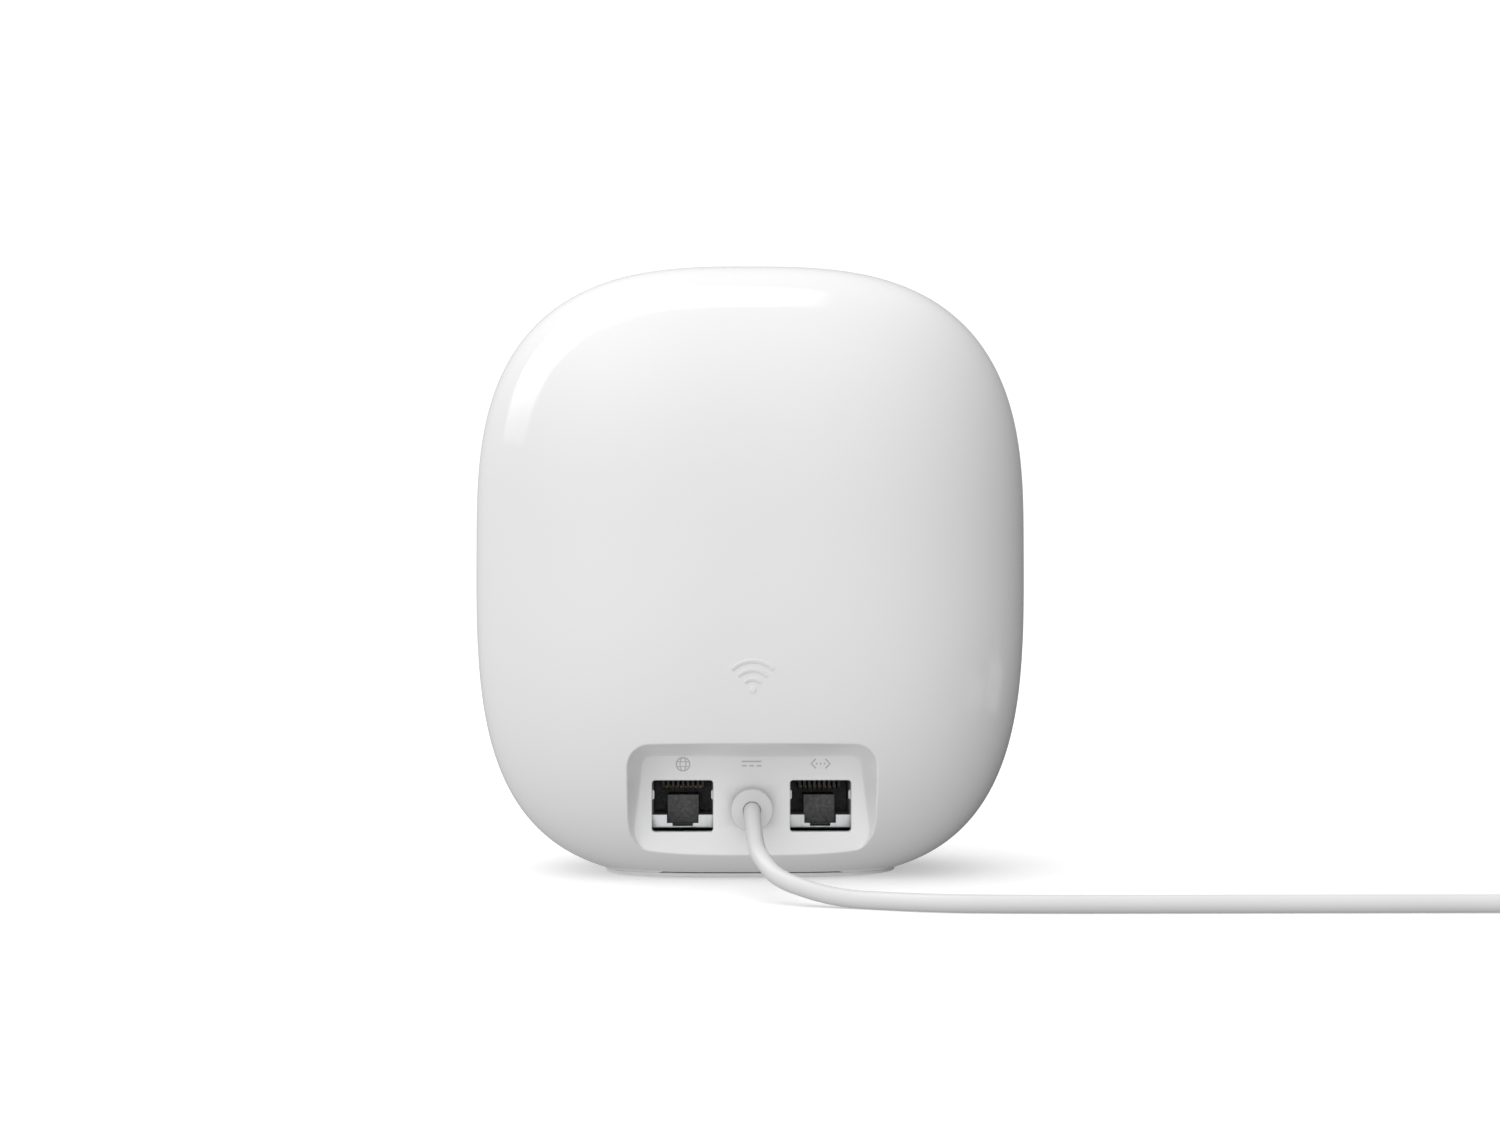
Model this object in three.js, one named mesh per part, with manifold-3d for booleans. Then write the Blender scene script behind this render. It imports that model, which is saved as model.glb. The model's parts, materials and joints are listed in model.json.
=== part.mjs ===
// A wireless router: a rounded case in two shells, its boards, jacks and antennas, its reset button, and the
// power lead with its plug, stored coil and wall adapter. Millimetres, +Z up. The ports face +Y, the status
// light faces -Y, and the origin is on the floor under the middle of the case.
import * as THREE from "three";
import { mergeVertices } from "three/addons/utils/BufferGeometryUtils.js";
import Module from "manifold-3d";

const wasm = await Module();
wasm.setup();

// ---- Driving dimensions -----------------------------------------------------------------------------------

const GAP = 0.3; // between pieces that touch

// The case is a superellipsoid that is widest a little above its middle.
const CASE_HALF_WIDTH = 58.5;
const CASE_HALF_DEPTH = 42.5;
const WIDEST_Z = 70.1;
const RISE = 59.2; // from the widest line to the top
const DROP = 71.7; // from the widest line to where the surface would close
const UPPER_POWER = 2.88; // how square the outline is above the widest line
const LOWER_POWER = 3.35; // and below it
const DEPTH_POWER = 2.58; // how square the side profile is
const WALL = 2.2;
const SPLIT_Y = -6; // where the front and rear shells meet
const SHELL_BOTTOM = 1.2;
const LIP_REACH = 2.6; // how far the rear shell's lip goes into the front shell
const LIP_THICKNESS = 1;

// The port recess has an upright floor and walls that lean outwards. Its lower edge runs out of the case.
const FLOOR_Y = 24.4;
const RECESS_HALF_WIDTH = 22.2;
const RECESS_TOP = 25.8;
const RECESS_BOTTOM = 4.4;
const RECESS_TOP_RADIUS = 1.6;
const RECESS_BOTTOM_RADIUS = 7.5;
const RECESS_LEAN = Math.tan(THREE.MathUtils.degToRad(13));

// The two network jacks and the power jack between them.
const PORT_X = 14.1;
const PORT_WIDTH = 12.45;
const PORT_LOW = 10.35;
const PORT_HIGH = 20.8;
const JACK_FRONT = FLOOR_Y - WALL - GAP;
const JACK_DEPTH = 13;
const JACK_BACK = JACK_FRONT - JACK_DEPTH;
const SHEET = 0.35; // the jacks' shield thickness
const SHIELD_HALF_WIDTH = 7;
const SHIELD_LOW = 10.95;
const SHIELD_HIGH = 22.5;
const MOUTH_HALF_WIDTH = 6.1;
const MOUTH_LOW = 13.6;
const MOUTH_HIGH = 20.9;
const LATCH_WIDTHS = [6.5, 4.2]; // the stepped slot for a plug's latch, from the top step down
const LATCH_LOWS = [11.9, SHIELD_LOW + SHEET];
const CONTACTS = 8;
const CONTACT_PITCH = 1.02;

const PLUG_Z = 15.1;
const PLUG_RADIUS = 4.25;
const PLUG_LENGTH = 5.5;
const BARREL_RADIUS = 2.75;
const BARREL_BORE = 1.3;
const BARREL_LENGTH = 9;

// The boards and what cools them.
const BOARD_BACK = JACK_BACK - GAP;
const BOARD_THICKNESS = 1.6;
const BOARD_FRONT = BOARD_BACK - BOARD_THICKNESS;
const BOARD_HALF_WIDTH = 40;
const BOARD_LOW = 9.4;
const BOARD_HIGH = 97;
const BOARD_SCREWS = [
  [-34, 18],
  [34, 18],
  [-37, 90],
  [37, 90],
];

// The inner frame is an upright ring that carries the boards and the antennas.
const FRAME_HALF_WIDTH = 49;
const FRAME_LOW = 6;
const FRAME_HIGH = 116;
const FRAME_RADIUS = 28;
const FRAME_THICKNESS = 3;
const FRAME_FRONT = -12;
const FRAME_BACK = BOARD_FRONT - GAP;

// The base.
const BASE_BOTTOM = 0.35;
const BASE_FLANGE_TOP = SHELL_BOTTOM - GAP;
const BASE_TOP = 3.4;
const BASE_INSET = 3.6; // from the case's outline to the part of the base inside the shells
const PAD_HALF_WIDTH = 24;
const PAD_HALF_DEPTH = 14;
const PAD_THICKNESS = 0.7;
const BASE_SCREWS = [
  [-18, -8],
  [18, -8],
  [-18, 3],
  [18, 3],
];
const BUTTON_Y = FRAME_BACK - 1.8;
const BUTTON_TRAVEL = 0.8;

// The power cord and what is on it.
const CORD_RADIUS = 1.7;
const CORD_Y = 70.7; // where it runs along the floor
const COIL_X = -183;
const COIL_TURN_STEP = 3.5; // from one turn to the next, beside it or on it
const COIL_OUTER_TURN = 25; // radius of the outermost turn's centre line
const COIL_LAYERS = 4;
const COIL_TURNS_PER_LAYER = 3;
const COIL_Y = CORD_Y - COIL_OUTER_TURN;
const COIL_CLEAR = 14; // from the coil's centre to where the straight cord meets its outside
const TIE_THICKNESS = 0.6;
const TIE_WIDTH = 5;
const TIE_ANGLES = [45, 225]; // degrees round the coil
const COIL_LOW = TIE_THICKNESS + GAP;

const ADAPTER_X = COIL_X - COIL_OUTER_TURN;
const ADAPTER_HALF_WIDTH = 22;
const ADAPTER_FRONT_Y = 10; // the face that the cord comes out of
const ADAPTER_BACK_Y = ADAPTER_FRONT_Y - 52;
const ADAPTER_Y = (ADAPTER_FRONT_Y + ADAPTER_BACK_Y) / 2;
const ADAPTER_HEIGHT = 28;
const ADAPTER_WALL = 2;
const BLADE_SPACING = 12.7;
const BLADE_HALF_WIDTH = 3.2;
const BLADE_HALF_THICKNESS = 0.75;

// ---- Shapes as solids -------------------------------------------------------------------------------------

function solid(geometry) {
  geometry.deleteAttribute("normal");
  geometry.deleteAttribute("uv");
  const merged = mergeVertices(geometry, 1e-4);
  const mesh = new wasm.Mesh({
    numProp: 3,
    vertProperties: merged.attributes.position.array,
    triVerts: new Uint32Array(merged.index.array),
  });
  return new wasm.Manifold(mesh);
}

function box([x0, x1], [y0, y1], [z0, z1]) {
  const geometry = new THREE.BoxGeometry(x1 - x0, y1 - y0, z1 - z0);
  geometry.translate((x0 + x1) / 2, (y0 + y1) / 2, (z0 + z1) / 2);
  return solid(geometry);
}

function rodZ(x, y, radius, z0, z1, sides = 16) {
  const geometry = new THREE.CylinderGeometry(radius, radius, z1 - z0, sides);
  geometry.rotateX(Math.PI / 2);
  geometry.translate(x, y, (z0 + z1) / 2);
  return solid(geometry);
}

function rodY(x, z, radius, y0, y1, sides = 16) {
  const geometry = new THREE.CylinderGeometry(radius, radius, y1 - y0, sides);
  geometry.translate(x, (y0 + y1) / 2, z);
  return solid(geometry);
}

// A shape drawn in X and Z, extruded from y0 to y1.
function slabY(shape, y0, y1) {
  const geometry = new THREE.ExtrudeGeometry(shape, { depth: y1 - y0, bevelEnabled: false });
  geometry.rotateX(Math.PI / 2);
  geometry.translate(0, y1, 0);
  return solid(geometry);
}

// A shape drawn in X and Y, extruded from z0 to z1.
function slabZ(shape, z0, z1) {
  const geometry = new THREE.ExtrudeGeometry(shape, { depth: z1 - z0, bevelEnabled: false });
  geometry.translate(0, 0, z0);
  return solid(geometry);
}

// The corner points of a rectangle with one radius, or one for its low and one for its high corners.
function rectanglePoints(left, right, low, high, lowRadius, highRadius = lowRadius, steps = 6) {
  const corners = [
    [left + lowRadius, low + lowRadius, lowRadius, Math.PI],
    [right - lowRadius, low + lowRadius, lowRadius, 1.5 * Math.PI],
    [right - highRadius, high - highRadius, highRadius, 0],
    [left + highRadius, high - highRadius, highRadius, 0.5 * Math.PI],
  ];
  return corners.flatMap(([x, y, radius, start]) =>
    Array.from({ length: steps + 1 }, (_, i) => {
      const angle = start + ((i / steps) * Math.PI) / 2;
      return new THREE.Vector2(x + radius * Math.cos(angle), y + radius * Math.sin(angle));
    }),
  );
}

function roundedRectangle(...sizes) {
  return new THREE.Shape(rectanglePoints(...sizes));
}

// A solid turned about the Y axis from points of [radius, y], and one about the Z axis from [radius, z].
function turnedY(profile, x, z, segments) {
  const points = profile.map(([radius, y]) => new THREE.Vector2(radius, y));
  const geometry = new THREE.LatheGeometry(points, segments);
  geometry.translate(x, 0, z);
  return solid(geometry);
}

function turnedZ(profile, x, y, segments) {
  const points = profile.map(([radius, z]) => new THREE.Vector2(radius, z));
  const geometry = new THREE.LatheGeometry(points, segments);
  geometry.rotateX(Math.PI / 2);
  geometry.translate(x, y, 0);
  return solid(geometry);
}

function union(solids) {
  return solids.reduce((all, next) => all.add(next));
}

// ---- The case's surface -----------------------------------------------------------------------------------

// 1 on the case's surface moved in by inset, less inside it. z counts from the widest line.
function caseLevel(x, y, z, inset) {
  const up = z > 0;
  const power = up ? UPPER_POWER : LOWER_POWER;
  const reach = (up ? RISE : DROP) - inset;
  const across = Math.abs(x / (CASE_HALF_WIDTH - inset)) ** power + Math.abs(z / reach) ** power;
  const level = across ** (DEPTH_POWER / power) + Math.abs(y / (CASE_HALF_DEPTH - inset)) ** DEPTH_POWER;
  return level ** (1 / DEPTH_POWER);
}

// The whole superellipsoid, from a ball whose every point is moved out to the surface.
function caseBody(inset, around, along) {
  const geometry = new THREE.SphereGeometry(1, around, along);
  const points = geometry.attributes.position;
  for (let i = 0; i < points.count; i += 1) {
    const ray = new THREE.Vector3().fromBufferAttribute(points, i);
    ray.divideScalar(caseLevel(ray.x, ray.y, ray.z, inset));
    points.setXYZ(i, ray.x, ray.y, ray.z + WIDEST_Z);
  }
  return solid(geometry);
}

// The case's outline at one height, moved in by inset.
function caseOutline(height, inset, points = 32) {
  const outline = [];
  for (let i = 0; i < points; i += 1) {
    const angle = (i / points) * 2 * Math.PI;
    const x = Math.cos(angle);
    const y = Math.sin(angle);
    let near = 0;
    let far = CASE_HALF_WIDTH;
    while (far - near > 1e-5) {
      const middle = (near + far) / 2;
      if (caseLevel(middle * x, middle * y, height - WIDEST_Z, 0) < 1) near = middle;
      else far = middle;
    }
    outline.push(new THREE.Vector2((near - inset) * x, (near - inset) * y));
  }
  return new THREE.Shape(outline);
}

// ---- The model --------------------------------------------------------------------------------------------

const router = new THREE.Group();

// Colour, roughness and metalness of each material.
const FINISHES = {
  case_white: [0xf2f2f2, 0.15, 0],
  base_white: [0xe8e8e8, 0.5, 0],
  foot_rubber: [0xdcdcdc, 0.85, 0],
  button_grey: [0xb8b8b8, 0.5, 0],
  frame_black: [0x26272a, 0.6, 0],
  jack_black: [0x18191b, 0.5, 0],
  steel: [0xc4c6c8, 0.35, 1],
  contact_gold: [0xc9a14a, 0.3, 1],
  aluminium: [0xb9bcc0, 0.45, 1],
  board_green: [0x1f4a35, 0.5, 0],
  chip_black: [0x202124, 0.45, 0],
  pad_blue: [0x8ea6b8, 0.8, 0],
  light_clear: [0xf4f4f0, 0.2, 0],
  cord_white: [0xefefef, 0.4, 0],
  tie_black: [0x2a2b2d, 0.7, 0],
  adapter_white: [0xf0f0f0, 0.3, 0],
};

function place(name, finish, shape) {
  const mesh = shape.getMesh();
  const geometry = new THREE.BufferGeometry();
  geometry.setAttribute("position", new THREE.BufferAttribute(new Float32Array(mesh.vertProperties), 3));
  geometry.setIndex(new THREE.BufferAttribute(new Uint32Array(mesh.triVerts), 1));
  geometry.computeVertexNormals();
  const [color, roughness, metalness] = FINISHES[finish];
  const part = new THREE.Mesh(geometry, new THREE.MeshStandardMaterial({ color, roughness, metalness }));
  part.name = name;
  router.add(part);
}

// A screw along Z or Y: a round head from which the shank goes on by its length.
function screw(profileOf, x, other, head, shankEnd, headRadius, shankRadius) {
  const [headStart, headEnd] = head;
  const profile = [
    [0, headStart],
    [headRadius, headStart],
    [headRadius, headEnd],
    [shankRadius, headEnd],
    [shankRadius, shankEnd],
    [0, shankEnd],
  ];
  const rising = shankEnd > headStart;
  return profileOf(rising ? profile : profile.reverse(), x, other, 12);
}

// ---- Case shells ------------------------------------------------------------------------------------------

const LIGHT_Z = 24;
const LIGHT_RADIUS = 1.5;
const LIGHT_DROP = (WIDEST_Z - LIGHT_Z) / DROP;
const LIGHT_FRONT = -CASE_HALF_DEPTH * (1 - LIGHT_DROP ** DEPTH_POWER) ** (1 / DEPTH_POWER);

// The recess as a block that widens outwards from its floor, grown all round by grow.
function recessBlock(floorY, grow) {
  const outerY = CASE_HALF_DEPTH + 10;
  const ring = (y) => {
    const out = (y - FLOOR_Y) * RECESS_LEAN + grow;
    const half = RECESS_HALF_WIDTH + out;
    const radii = [RECESS_BOTTOM_RADIUS + out, RECESS_TOP_RADIUS + out];
    return rectanglePoints(-half, half, RECESS_BOTTOM - grow, RECESS_TOP + out, ...radii);
  };
  const inner = ring(floorY).map(({ x, y }) => [x, floorY, y]);
  const outer = ring(outerY).map(({ x, y }) => [x, outerY, y]);
  const corners = [];
  inner.forEach((start, i) => {
    const next = (i + 1) % inner.length;
    corners.push(start, outer[i], inner[next], inner[next], outer[i], outer[next]);
    if (i > 0 && next > 0) corners.push(inner[0], start, inner[next], outer[0], outer[next], outer[i]);
  });
  const geometry = new THREE.BufferGeometry();
  geometry.setAttribute("position", new THREE.Float32BufferAttribute(corners.flat(), 3));
  return solid(geometry);
}

function caseShells() {
  const outside = caseBody(0, 44, 22);
  const inside = caseBody(WALL, 32, 16);
  const everything = [-100, 100];
  const below = box(everything, everything, [-50, SHELL_BOTTOM]);
  const baseHole = slabZ(caseOutline(SHELL_BOTTOM, BASE_INSET - GAP), -5, BASE_TOP + 4);
  const whole = outside.subtract(inside).subtract(below).subtract(baseHole);

  const front = box(everything, [-60, SPLIT_Y - GAP / 2], [-10, 140]);
  const lightHole = rodY(0, LIGHT_Z, LIGHT_RADIUS + GAP, -60, FRAME_FRONT);
  place("front_shell", "case_white", whole.intersect(front).subtract(lightHole));

  const rear = box(everything, [SPLIT_Y + GAP / 2, 60], [-10, 140]);
  const lipOutside = caseBody(WALL + GAP, 32, 16);
  const lipInside = caseBody(WALL + GAP + LIP_THICKNESS, 32, 16);
  const root = box(everything, [SPLIT_Y + GAP / 2, SPLIT_Y + 3], [-10, 140]);
  const reach = box(everything, [SPLIT_Y - LIP_REACH, SPLIT_Y + 3], [-10, 140]);
  const lip = lipOutside.intersect(reach).add(outside.intersect(root)).subtract(lipInside);
  const lipStart = box(everything, everything, [BASE_TOP + 4, 140]);
  const tray = recessBlock(FLOOR_Y - WALL, WALL).intersect(outside);
  const ports = [-PORT_X, PORT_X].map((x) => {
    const half = PORT_WIDTH / 2;
    const window = roundedRectangle(x - half, x + half, PORT_LOW, PORT_HIGH, 0.6, 0.6, 3);
    return slabY(window, FLOOR_Y - 5, FLOOR_Y + 5);
  });
  const plugHole = rodY(0, PLUG_Z, BARREL_RADIUS + 0.6, FLOOR_Y - 5, FLOOR_Y + 5);
  const shell = whole
    .intersect(rear)
    .add(lip.intersect(lipStart))
    .add(tray.subtract(below))
    .subtract(recessBlock(FLOOR_Y, 0))
    .subtract(union([...ports, plugHole]));
  place("rear_shell", "case_white", shell);
}

// ---- Base, foot and reset button --------------------------------------------------------------------------

const BUTTON_RADIUS = 2.4;
const STEM_RADIUS = 1.4;
const SWITCH_LOW = 10.6;
const PLUNGER_RADIUS = 0.9;
const PLUNGER_LOW = 9.7;

function base() {
  const flange = slabZ(caseOutline(SHELL_BOTTOM, 0.05), BASE_BOTTOM, BASE_FLANGE_TOP);
  const plug = slabZ(caseOutline(SHELL_BOTTOM, BASE_INSET), BASE_BOTTOM, BASE_TOP);
  const padRoom = slabZ(padOutline(GAP), -1, PAD_THICKNESS + GAP);
  const buttonHole = rodZ(0, BUTTON_Y, BUTTON_RADIUS + GAP, -1, BASE_TOP + 1);
  const screwHoles = BASE_SCREWS.map(([x, y]) => {
    const headRoom = rodZ(x, y, 2.6, -1, 2.3);
    return headRoom.add(rodZ(x, y, 1.4, 0, BASE_TOP + 1));
  });
  place("base_cover", "base_white", flange.add(plug).subtract(union([padRoom, buttonHole, ...screwHoles])));

  const pad = slabZ(padOutline(0), 0, PAD_THICKNESS);
  place("foot_pad", "foot_rubber", pad.subtract(rodZ(0, BUTTON_Y, BUTTON_RADIUS + 1, -1, 2)));

  BASE_SCREWS.forEach(([x, y], i) => {
    place(`base_screw_${i + 1}`, "steel", screw(turnedZ, x, y, [1, 2], 7.5, 2.2, 1.1));
  });
}

function padOutline(grow) {
  const wide = PAD_HALF_WIDTH + grow;
  const deep = PAD_HALF_DEPTH + grow;
  return roundedRectangle(-wide, wide, -deep, deep, PAD_HALF_DEPTH - 2 + grow);
}

function resetButton() {
  const cap = rodZ(0, BUTTON_Y, BUTTON_RADIUS, 0.8, BASE_TOP + GAP);
  const keeper = rodZ(0, BUTTON_Y, BUTTON_RADIUS + 1.2, BASE_TOP + GAP, BASE_TOP + GAP + 0.9);
  const stem = rodZ(0, BUTTON_Y, STEM_RADIUS, BASE_TOP, PLUNGER_LOW - GAP, 12);
  place("reset_button", "button_grey", union([cap, keeper, stem]));
  const plunger = rodZ(0, BUTTON_Y, PLUNGER_RADIUS, PLUNGER_LOW, SWITCH_LOW + 1, 12);
  place("reset_switch_plunger", "chip_black", plunger);
  const body = box([-3, 3], [BUTTON_Y - 1.5, FRAME_BACK], [SWITCH_LOW, SWITCH_LOW + 3.5]);
  const boreTop = SWITCH_LOW + 1 + BUTTON_TRAVEL + GAP;
  const bore = rodZ(0, BUTTON_Y, PLUNGER_RADIUS + GAP, SWITCH_LOW - 1, boreTop, 12);
  place("reset_switch", "steel", body.subtract(bore));
}

// ---- Inner frame and antennas -----------------------------------------------------------------------------

const EAR_Z = [52, 66]; // where the front heat spreader rests on the frame
const SPREADER_BACK = BOARD_FRONT - 3.5;
const SPREADER_THICKNESS = 2.4;

function innerFrame() {
  const ring = (inset) =>
    roundedRectangle(
      inset - FRAME_HALF_WIDTH,
      FRAME_HALF_WIDTH - inset,
      FRAME_LOW + inset,
      FRAME_HIGH - inset,
      FRAME_RADIUS - inset,
    );
  const outer = slabY(ring(0), FRAME_FRONT, FRAME_BACK);
  const hollow = slabY(ring(FRAME_THICKNESS), FRAME_FRONT - 1, FRAME_BACK + 1);
  const pillars = BOARD_SCREWS.map(([x, z]) => {
    const side = Math.sign(x);
    const reach = z > FRAME_HIGH / 2 ? 10 : 7.5;
    const across = [x, x + side * reach].sort((a, b) => a - b);
    const rib = box(across, [-2, FRAME_BACK], [z - 1, z + 1]);
    return rodY(x, z, 3, -2, FRAME_BACK, 12).add(rib);
  });
  const posts = BASE_SCREWS.map(([x, y]) => rodZ(x, y, 2.8, BASE_TOP + GAP, FRAME_LOW + 1, 12));
  const rests = [-1, 1].map((side) => {
    const across = [side * 43, side * (FRAME_HALF_WIDTH - 1)].sort((a, b) => a - b);
    const front = SPREADER_BACK - SPREADER_THICKNESS - GAP;
    return box(across, [front - 3, front], EAR_Z);
  });
  const lightArm = box([-6, 6], [FRAME_FRONT, FRAME_FRONT + 2], [FRAME_LOW + 1, LIGHT_Z + 6]);
  const solids = union([outer.subtract(hollow), ...pillars, ...posts, ...rests, lightArm]);
  const boardHoles = BOARD_SCREWS.map(([x, z]) => rodY(x, z, 1.4, 0, FRAME_BACK + 1, 12));
  const baseHoles = BASE_SCREWS.map(([x, y]) => rodZ(x, y, 1.4, 0, FRAME_LOW + FRAME_THICKNESS + 1, 12));
  const stemHole = rodZ(0, BUTTON_Y, STEM_RADIUS + 0.8, 0, FRAME_LOW + FRAME_THICKNESS + 1, 12);
  place("inner_frame", "frame_black", solids.subtract(union([...boardHoles, ...baseHoles, stemHole])));
}

// A stamped antenna: a flat plate with a slot from one edge, lying on the frame's outside.
function antennas() {
  const depth = [FRAME_FRONT + 2, FRAME_BACK - 3];
  const middle = (depth[0] + depth[1]) / 2;
  [-1, 1].forEach((side) => {
    const top = [FRAME_HIGH + GAP, FRAME_HIGH + GAP + 0.4];
    const across = side < 0 ? [-22, -3] : [3, 22];
    const slot = side < 0 ? [-19, 0] : [0, 19];
    const gap = box(slot, [middle - 1, middle + 1], [FRAME_HIGH, FRAME_HIGH + 2]);
    const plate = box(across, depth, top).subtract(gap);
    place(side < 0 ? "antenna_top_left" : "antenna_top_right", "steel", plate);
    const outward = FRAME_HALF_WIDTH + GAP;
    const flat = side < 0 ? [-outward - 0.4, -outward] : [outward, outward + 0.4];
    const through = side < 0 ? [-outward - 1, -outward + 0.2] : [outward - 0.2, outward + 1];
    [
      ["lower", 38],
      ["upper", 62],
    ].forEach(([level, low]) => {
      const upright = box(flat, depth, [low, low + 20]);
      const cut = box(through, [middle - 1, middle + 1], [low + 3, low + 21]);
      place(`antenna_${side < 0 ? "left" : "right"}_${level}`, "steel", upright.subtract(cut));
    });
  });
}

// ---- Main board and cooling -------------------------------------------------------------------------------

function mainBoard() {
  const outline = roundedRectangle(-BOARD_HALF_WIDTH, BOARD_HALF_WIDTH, BOARD_LOW, BOARD_HIGH, 8, 5);
  const holes = BOARD_SCREWS.map(([x, z]) => rodY(x, z, 1.5, BOARD_FRONT - 1, BOARD_BACK + 1, 12));
  place("main_board", "board_green", slabY(outline, BOARD_FRONT, BOARD_BACK).subtract(union(holes)));
  BOARD_SCREWS.forEach(([x, z], i) => {
    const head = [BOARD_BACK + GAP + 1.6, BOARD_BACK + GAP];
    place(`board_screw_${i + 1}`, "steel", screw(turnedY, x, z, head, 1, 2.6, 1.1));
  });

  const chipBack = BOARD_FRONT - GAP;
  place("processor", "chip_black", box([-9, 9], [chipBack - 1.2, chipBack], [50, 68]));
  place("memory_chip", "chip_black", box([14, 24], [chipBack - 1, chipBack], [54, 66]));
  const padBack = chipBack - 1.2 - GAP;
  place("front_thermal_pad", "pad_blue", box([-8, 8], [SPREADER_BACK + GAP, padBack], [51, 67]));

  const canFront = BOARD_BACK + GAP;
  const canBack = canFront + 2.2;
  [-1, 1].forEach((side) => {
    const across = side < 0 ? [-30, -4] : [4, 30];
    const can = box(across, [canFront, canBack], [54, 80]);
    const room = box([across[0] + 0.4, across[1] - 0.4], [canFront - 1, canBack - 0.4], [54.4, 79.6]);
    const label = side < 0 ? "left" : "right";
    place(`radio_shield_${label}`, "steel", can.subtract(room));
    const pad = box([across[0] + 5, across[1] - 5], [canBack + GAP, canBack + GAP + 0.8], [59, 75]);
    place(`rear_thermal_pad_${label}`, "pad_blue", pad);
  });
}

function heatSinks() {
  const front = SPREADER_BACK - SPREADER_THICKNESS;
  const plate = box([-32, 32], [front, SPREADER_BACK], [28, 88]);
  const ears = box([3 - FRAME_HALF_WIDTH + 0.4, FRAME_HALF_WIDTH - 3 - 0.4], [front, SPREADER_BACK], EAR_Z);
  const ribs = [-24, -8, 8, 24].map((x) => box([x - 1, x + 1], [front - 5, front + 1], [30, 86]));
  place("front_heat_spreader", "aluminium", union([plate, ears, ...ribs]));

  const sinkFront = BOARD_BACK + GAP + 2.2 + GAP + 0.8 + GAP;
  const back = box([-33, 33], [sinkFront, sinkFront + 2.4], [32, 86]);
  const fins = [-32, -24, -16, -8, 0, 8, 16, 24, 32].map((x) => {
    return box([x - 0.8, x + 0.8], [sinkFront + 1, sinkFront + 11], [32, 86]);
  });
  place("rear_heat_sink", "aluminium", union([back, ...fins]));
}

function statusLight() {
  const boardBack = FRAME_FRONT - GAP;
  place("light_board", "board_green", box([-6, 6], [boardBack - 1, boardBack], [LIGHT_Z - 6, LIGHT_Z + 5]));
  const ledBack = boardBack - 1 - GAP;
  place("status_led", "light_clear", box([-1, 1], [ledBack - 0.8, ledBack], [LIGHT_Z - 1, LIGHT_Z + 1]));
  const guideBack = ledBack - 0.8 - GAP;
  const profile = [
    [0, LIGHT_FRONT],
    [LIGHT_RADIUS, LIGHT_FRONT],
    [LIGHT_RADIUS, guideBack - 2],
    [LIGHT_RADIUS + 1, guideBack - 2],
    [LIGHT_RADIUS + 1, guideBack],
    [0, guideBack],
  ];
  place("light_guide", "light_clear", turnedY(profile, 0, LIGHT_Z, 14));
}

// ---- Network jacks ----------------------------------------------------------------------------------------

// The plug's way in, with the stepped latch slot below it, from y0 to y1.
function plugMouth(x, y0, y1, high) {
  const main = box([x - MOUTH_HALF_WIDTH, x + MOUTH_HALF_WIDTH], [y0, y1], [MOUTH_LOW, high]);
  const steps = LATCH_WIDTHS.map((width, i) => {
    return box([x - width / 2, x + width / 2], [y0, y1], [LATCH_LOWS[i], MOUTH_LOW + 0.5]);
  });
  return union([main, ...steps]);
}

function networkJack(label, x) {
  const half = SHIELD_HALF_WIDTH;
  const can = box([x - half, x + half], [JACK_BACK, JACK_FRONT], [SHIELD_LOW, SHIELD_HIGH]);
  const inner = half - SHEET;
  const room = [SHIELD_LOW + SHEET, SHIELD_HIGH - SHEET];
  const hollow = box([x - inner, x + inner], [JACK_BACK - 1, JACK_FRONT - SHEET], room);
  const mouth = plugMouth(x, JACK_FRONT - 1, JACK_FRONT + 1, MOUTH_HIGH);
  place(`${label}_jack_shield`, "steel", can.subtract(hollow).subtract(mouth));

  const block = inner - GAP;
  const front = JACK_FRONT - SHEET - GAP;
  const body = box([x - block, x + block], [JACK_BACK, front], [room[0] + GAP, room[1] - GAP]);
  const well = plugMouth(x, JACK_BACK + 1.2, front + 1, MOUTH_HIGH);
  place(`${label}_jack_housing`, "jack_black", body.subtract(well));

  const bar = [JACK_BACK + 1.2 + GAP, JACK_BACK + 2.2 + GAP];
  const width = ((CONTACTS - 1) / 2) * CONTACT_PITCH + 0.25;
  const carrier = box([x - width, x + width], bar, [18.4, 19.2]);
  const wires = Array.from({ length: CONTACTS }, (_, i) => {
    const wireX = x + (i - (CONTACTS - 1) / 2) * CONTACT_PITCH;
    const geometry = new THREE.BoxGeometry(0.45, front - bar[0], 0.4);
    geometry.rotateX(0.14);
    geometry.translate(wireX, (front + bar[0]) / 2 - 0.1, 19.5);
    return solid(geometry);
  });
  place(`${label}_jack_contacts`, "contact_gold", union([carrier, ...wires]));
}

// ---- Power jack and plug ----------------------------------------------------------------------------------

function powerJack() {
  const half = 4.6;
  const boreRadius = 3.5;
  const block = box([-half, half], [JACK_BACK, JACK_FRONT], [PLUG_Z - half, PLUG_Z + half]);
  const bore = rodY(0, PLUG_Z, boreRadius, JACK_BACK + 2, JACK_FRONT + 1);
  place("power_jack_housing", "jack_black", block.subtract(bore));
  place("power_jack_pin", "steel", rodY(0, PLUG_Z, 0.95, JACK_BACK + 2 + GAP, JACK_FRONT - 1, 12));
  const across = [BARREL_RADIUS + GAP, boreRadius - 0.2];
  const leaf = box(across, [JACK_BACK + 2 + GAP, JACK_FRONT - 1], [PLUG_Z - 0.7, PLUG_Z + 0.7]);
  place("power_jack_contact", "contact_gold", leaf);
}

const PLUG_FACE = FLOOR_Y + PLUG_LENGTH;
const CORD_START = PLUG_FACE - 1.5;

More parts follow.
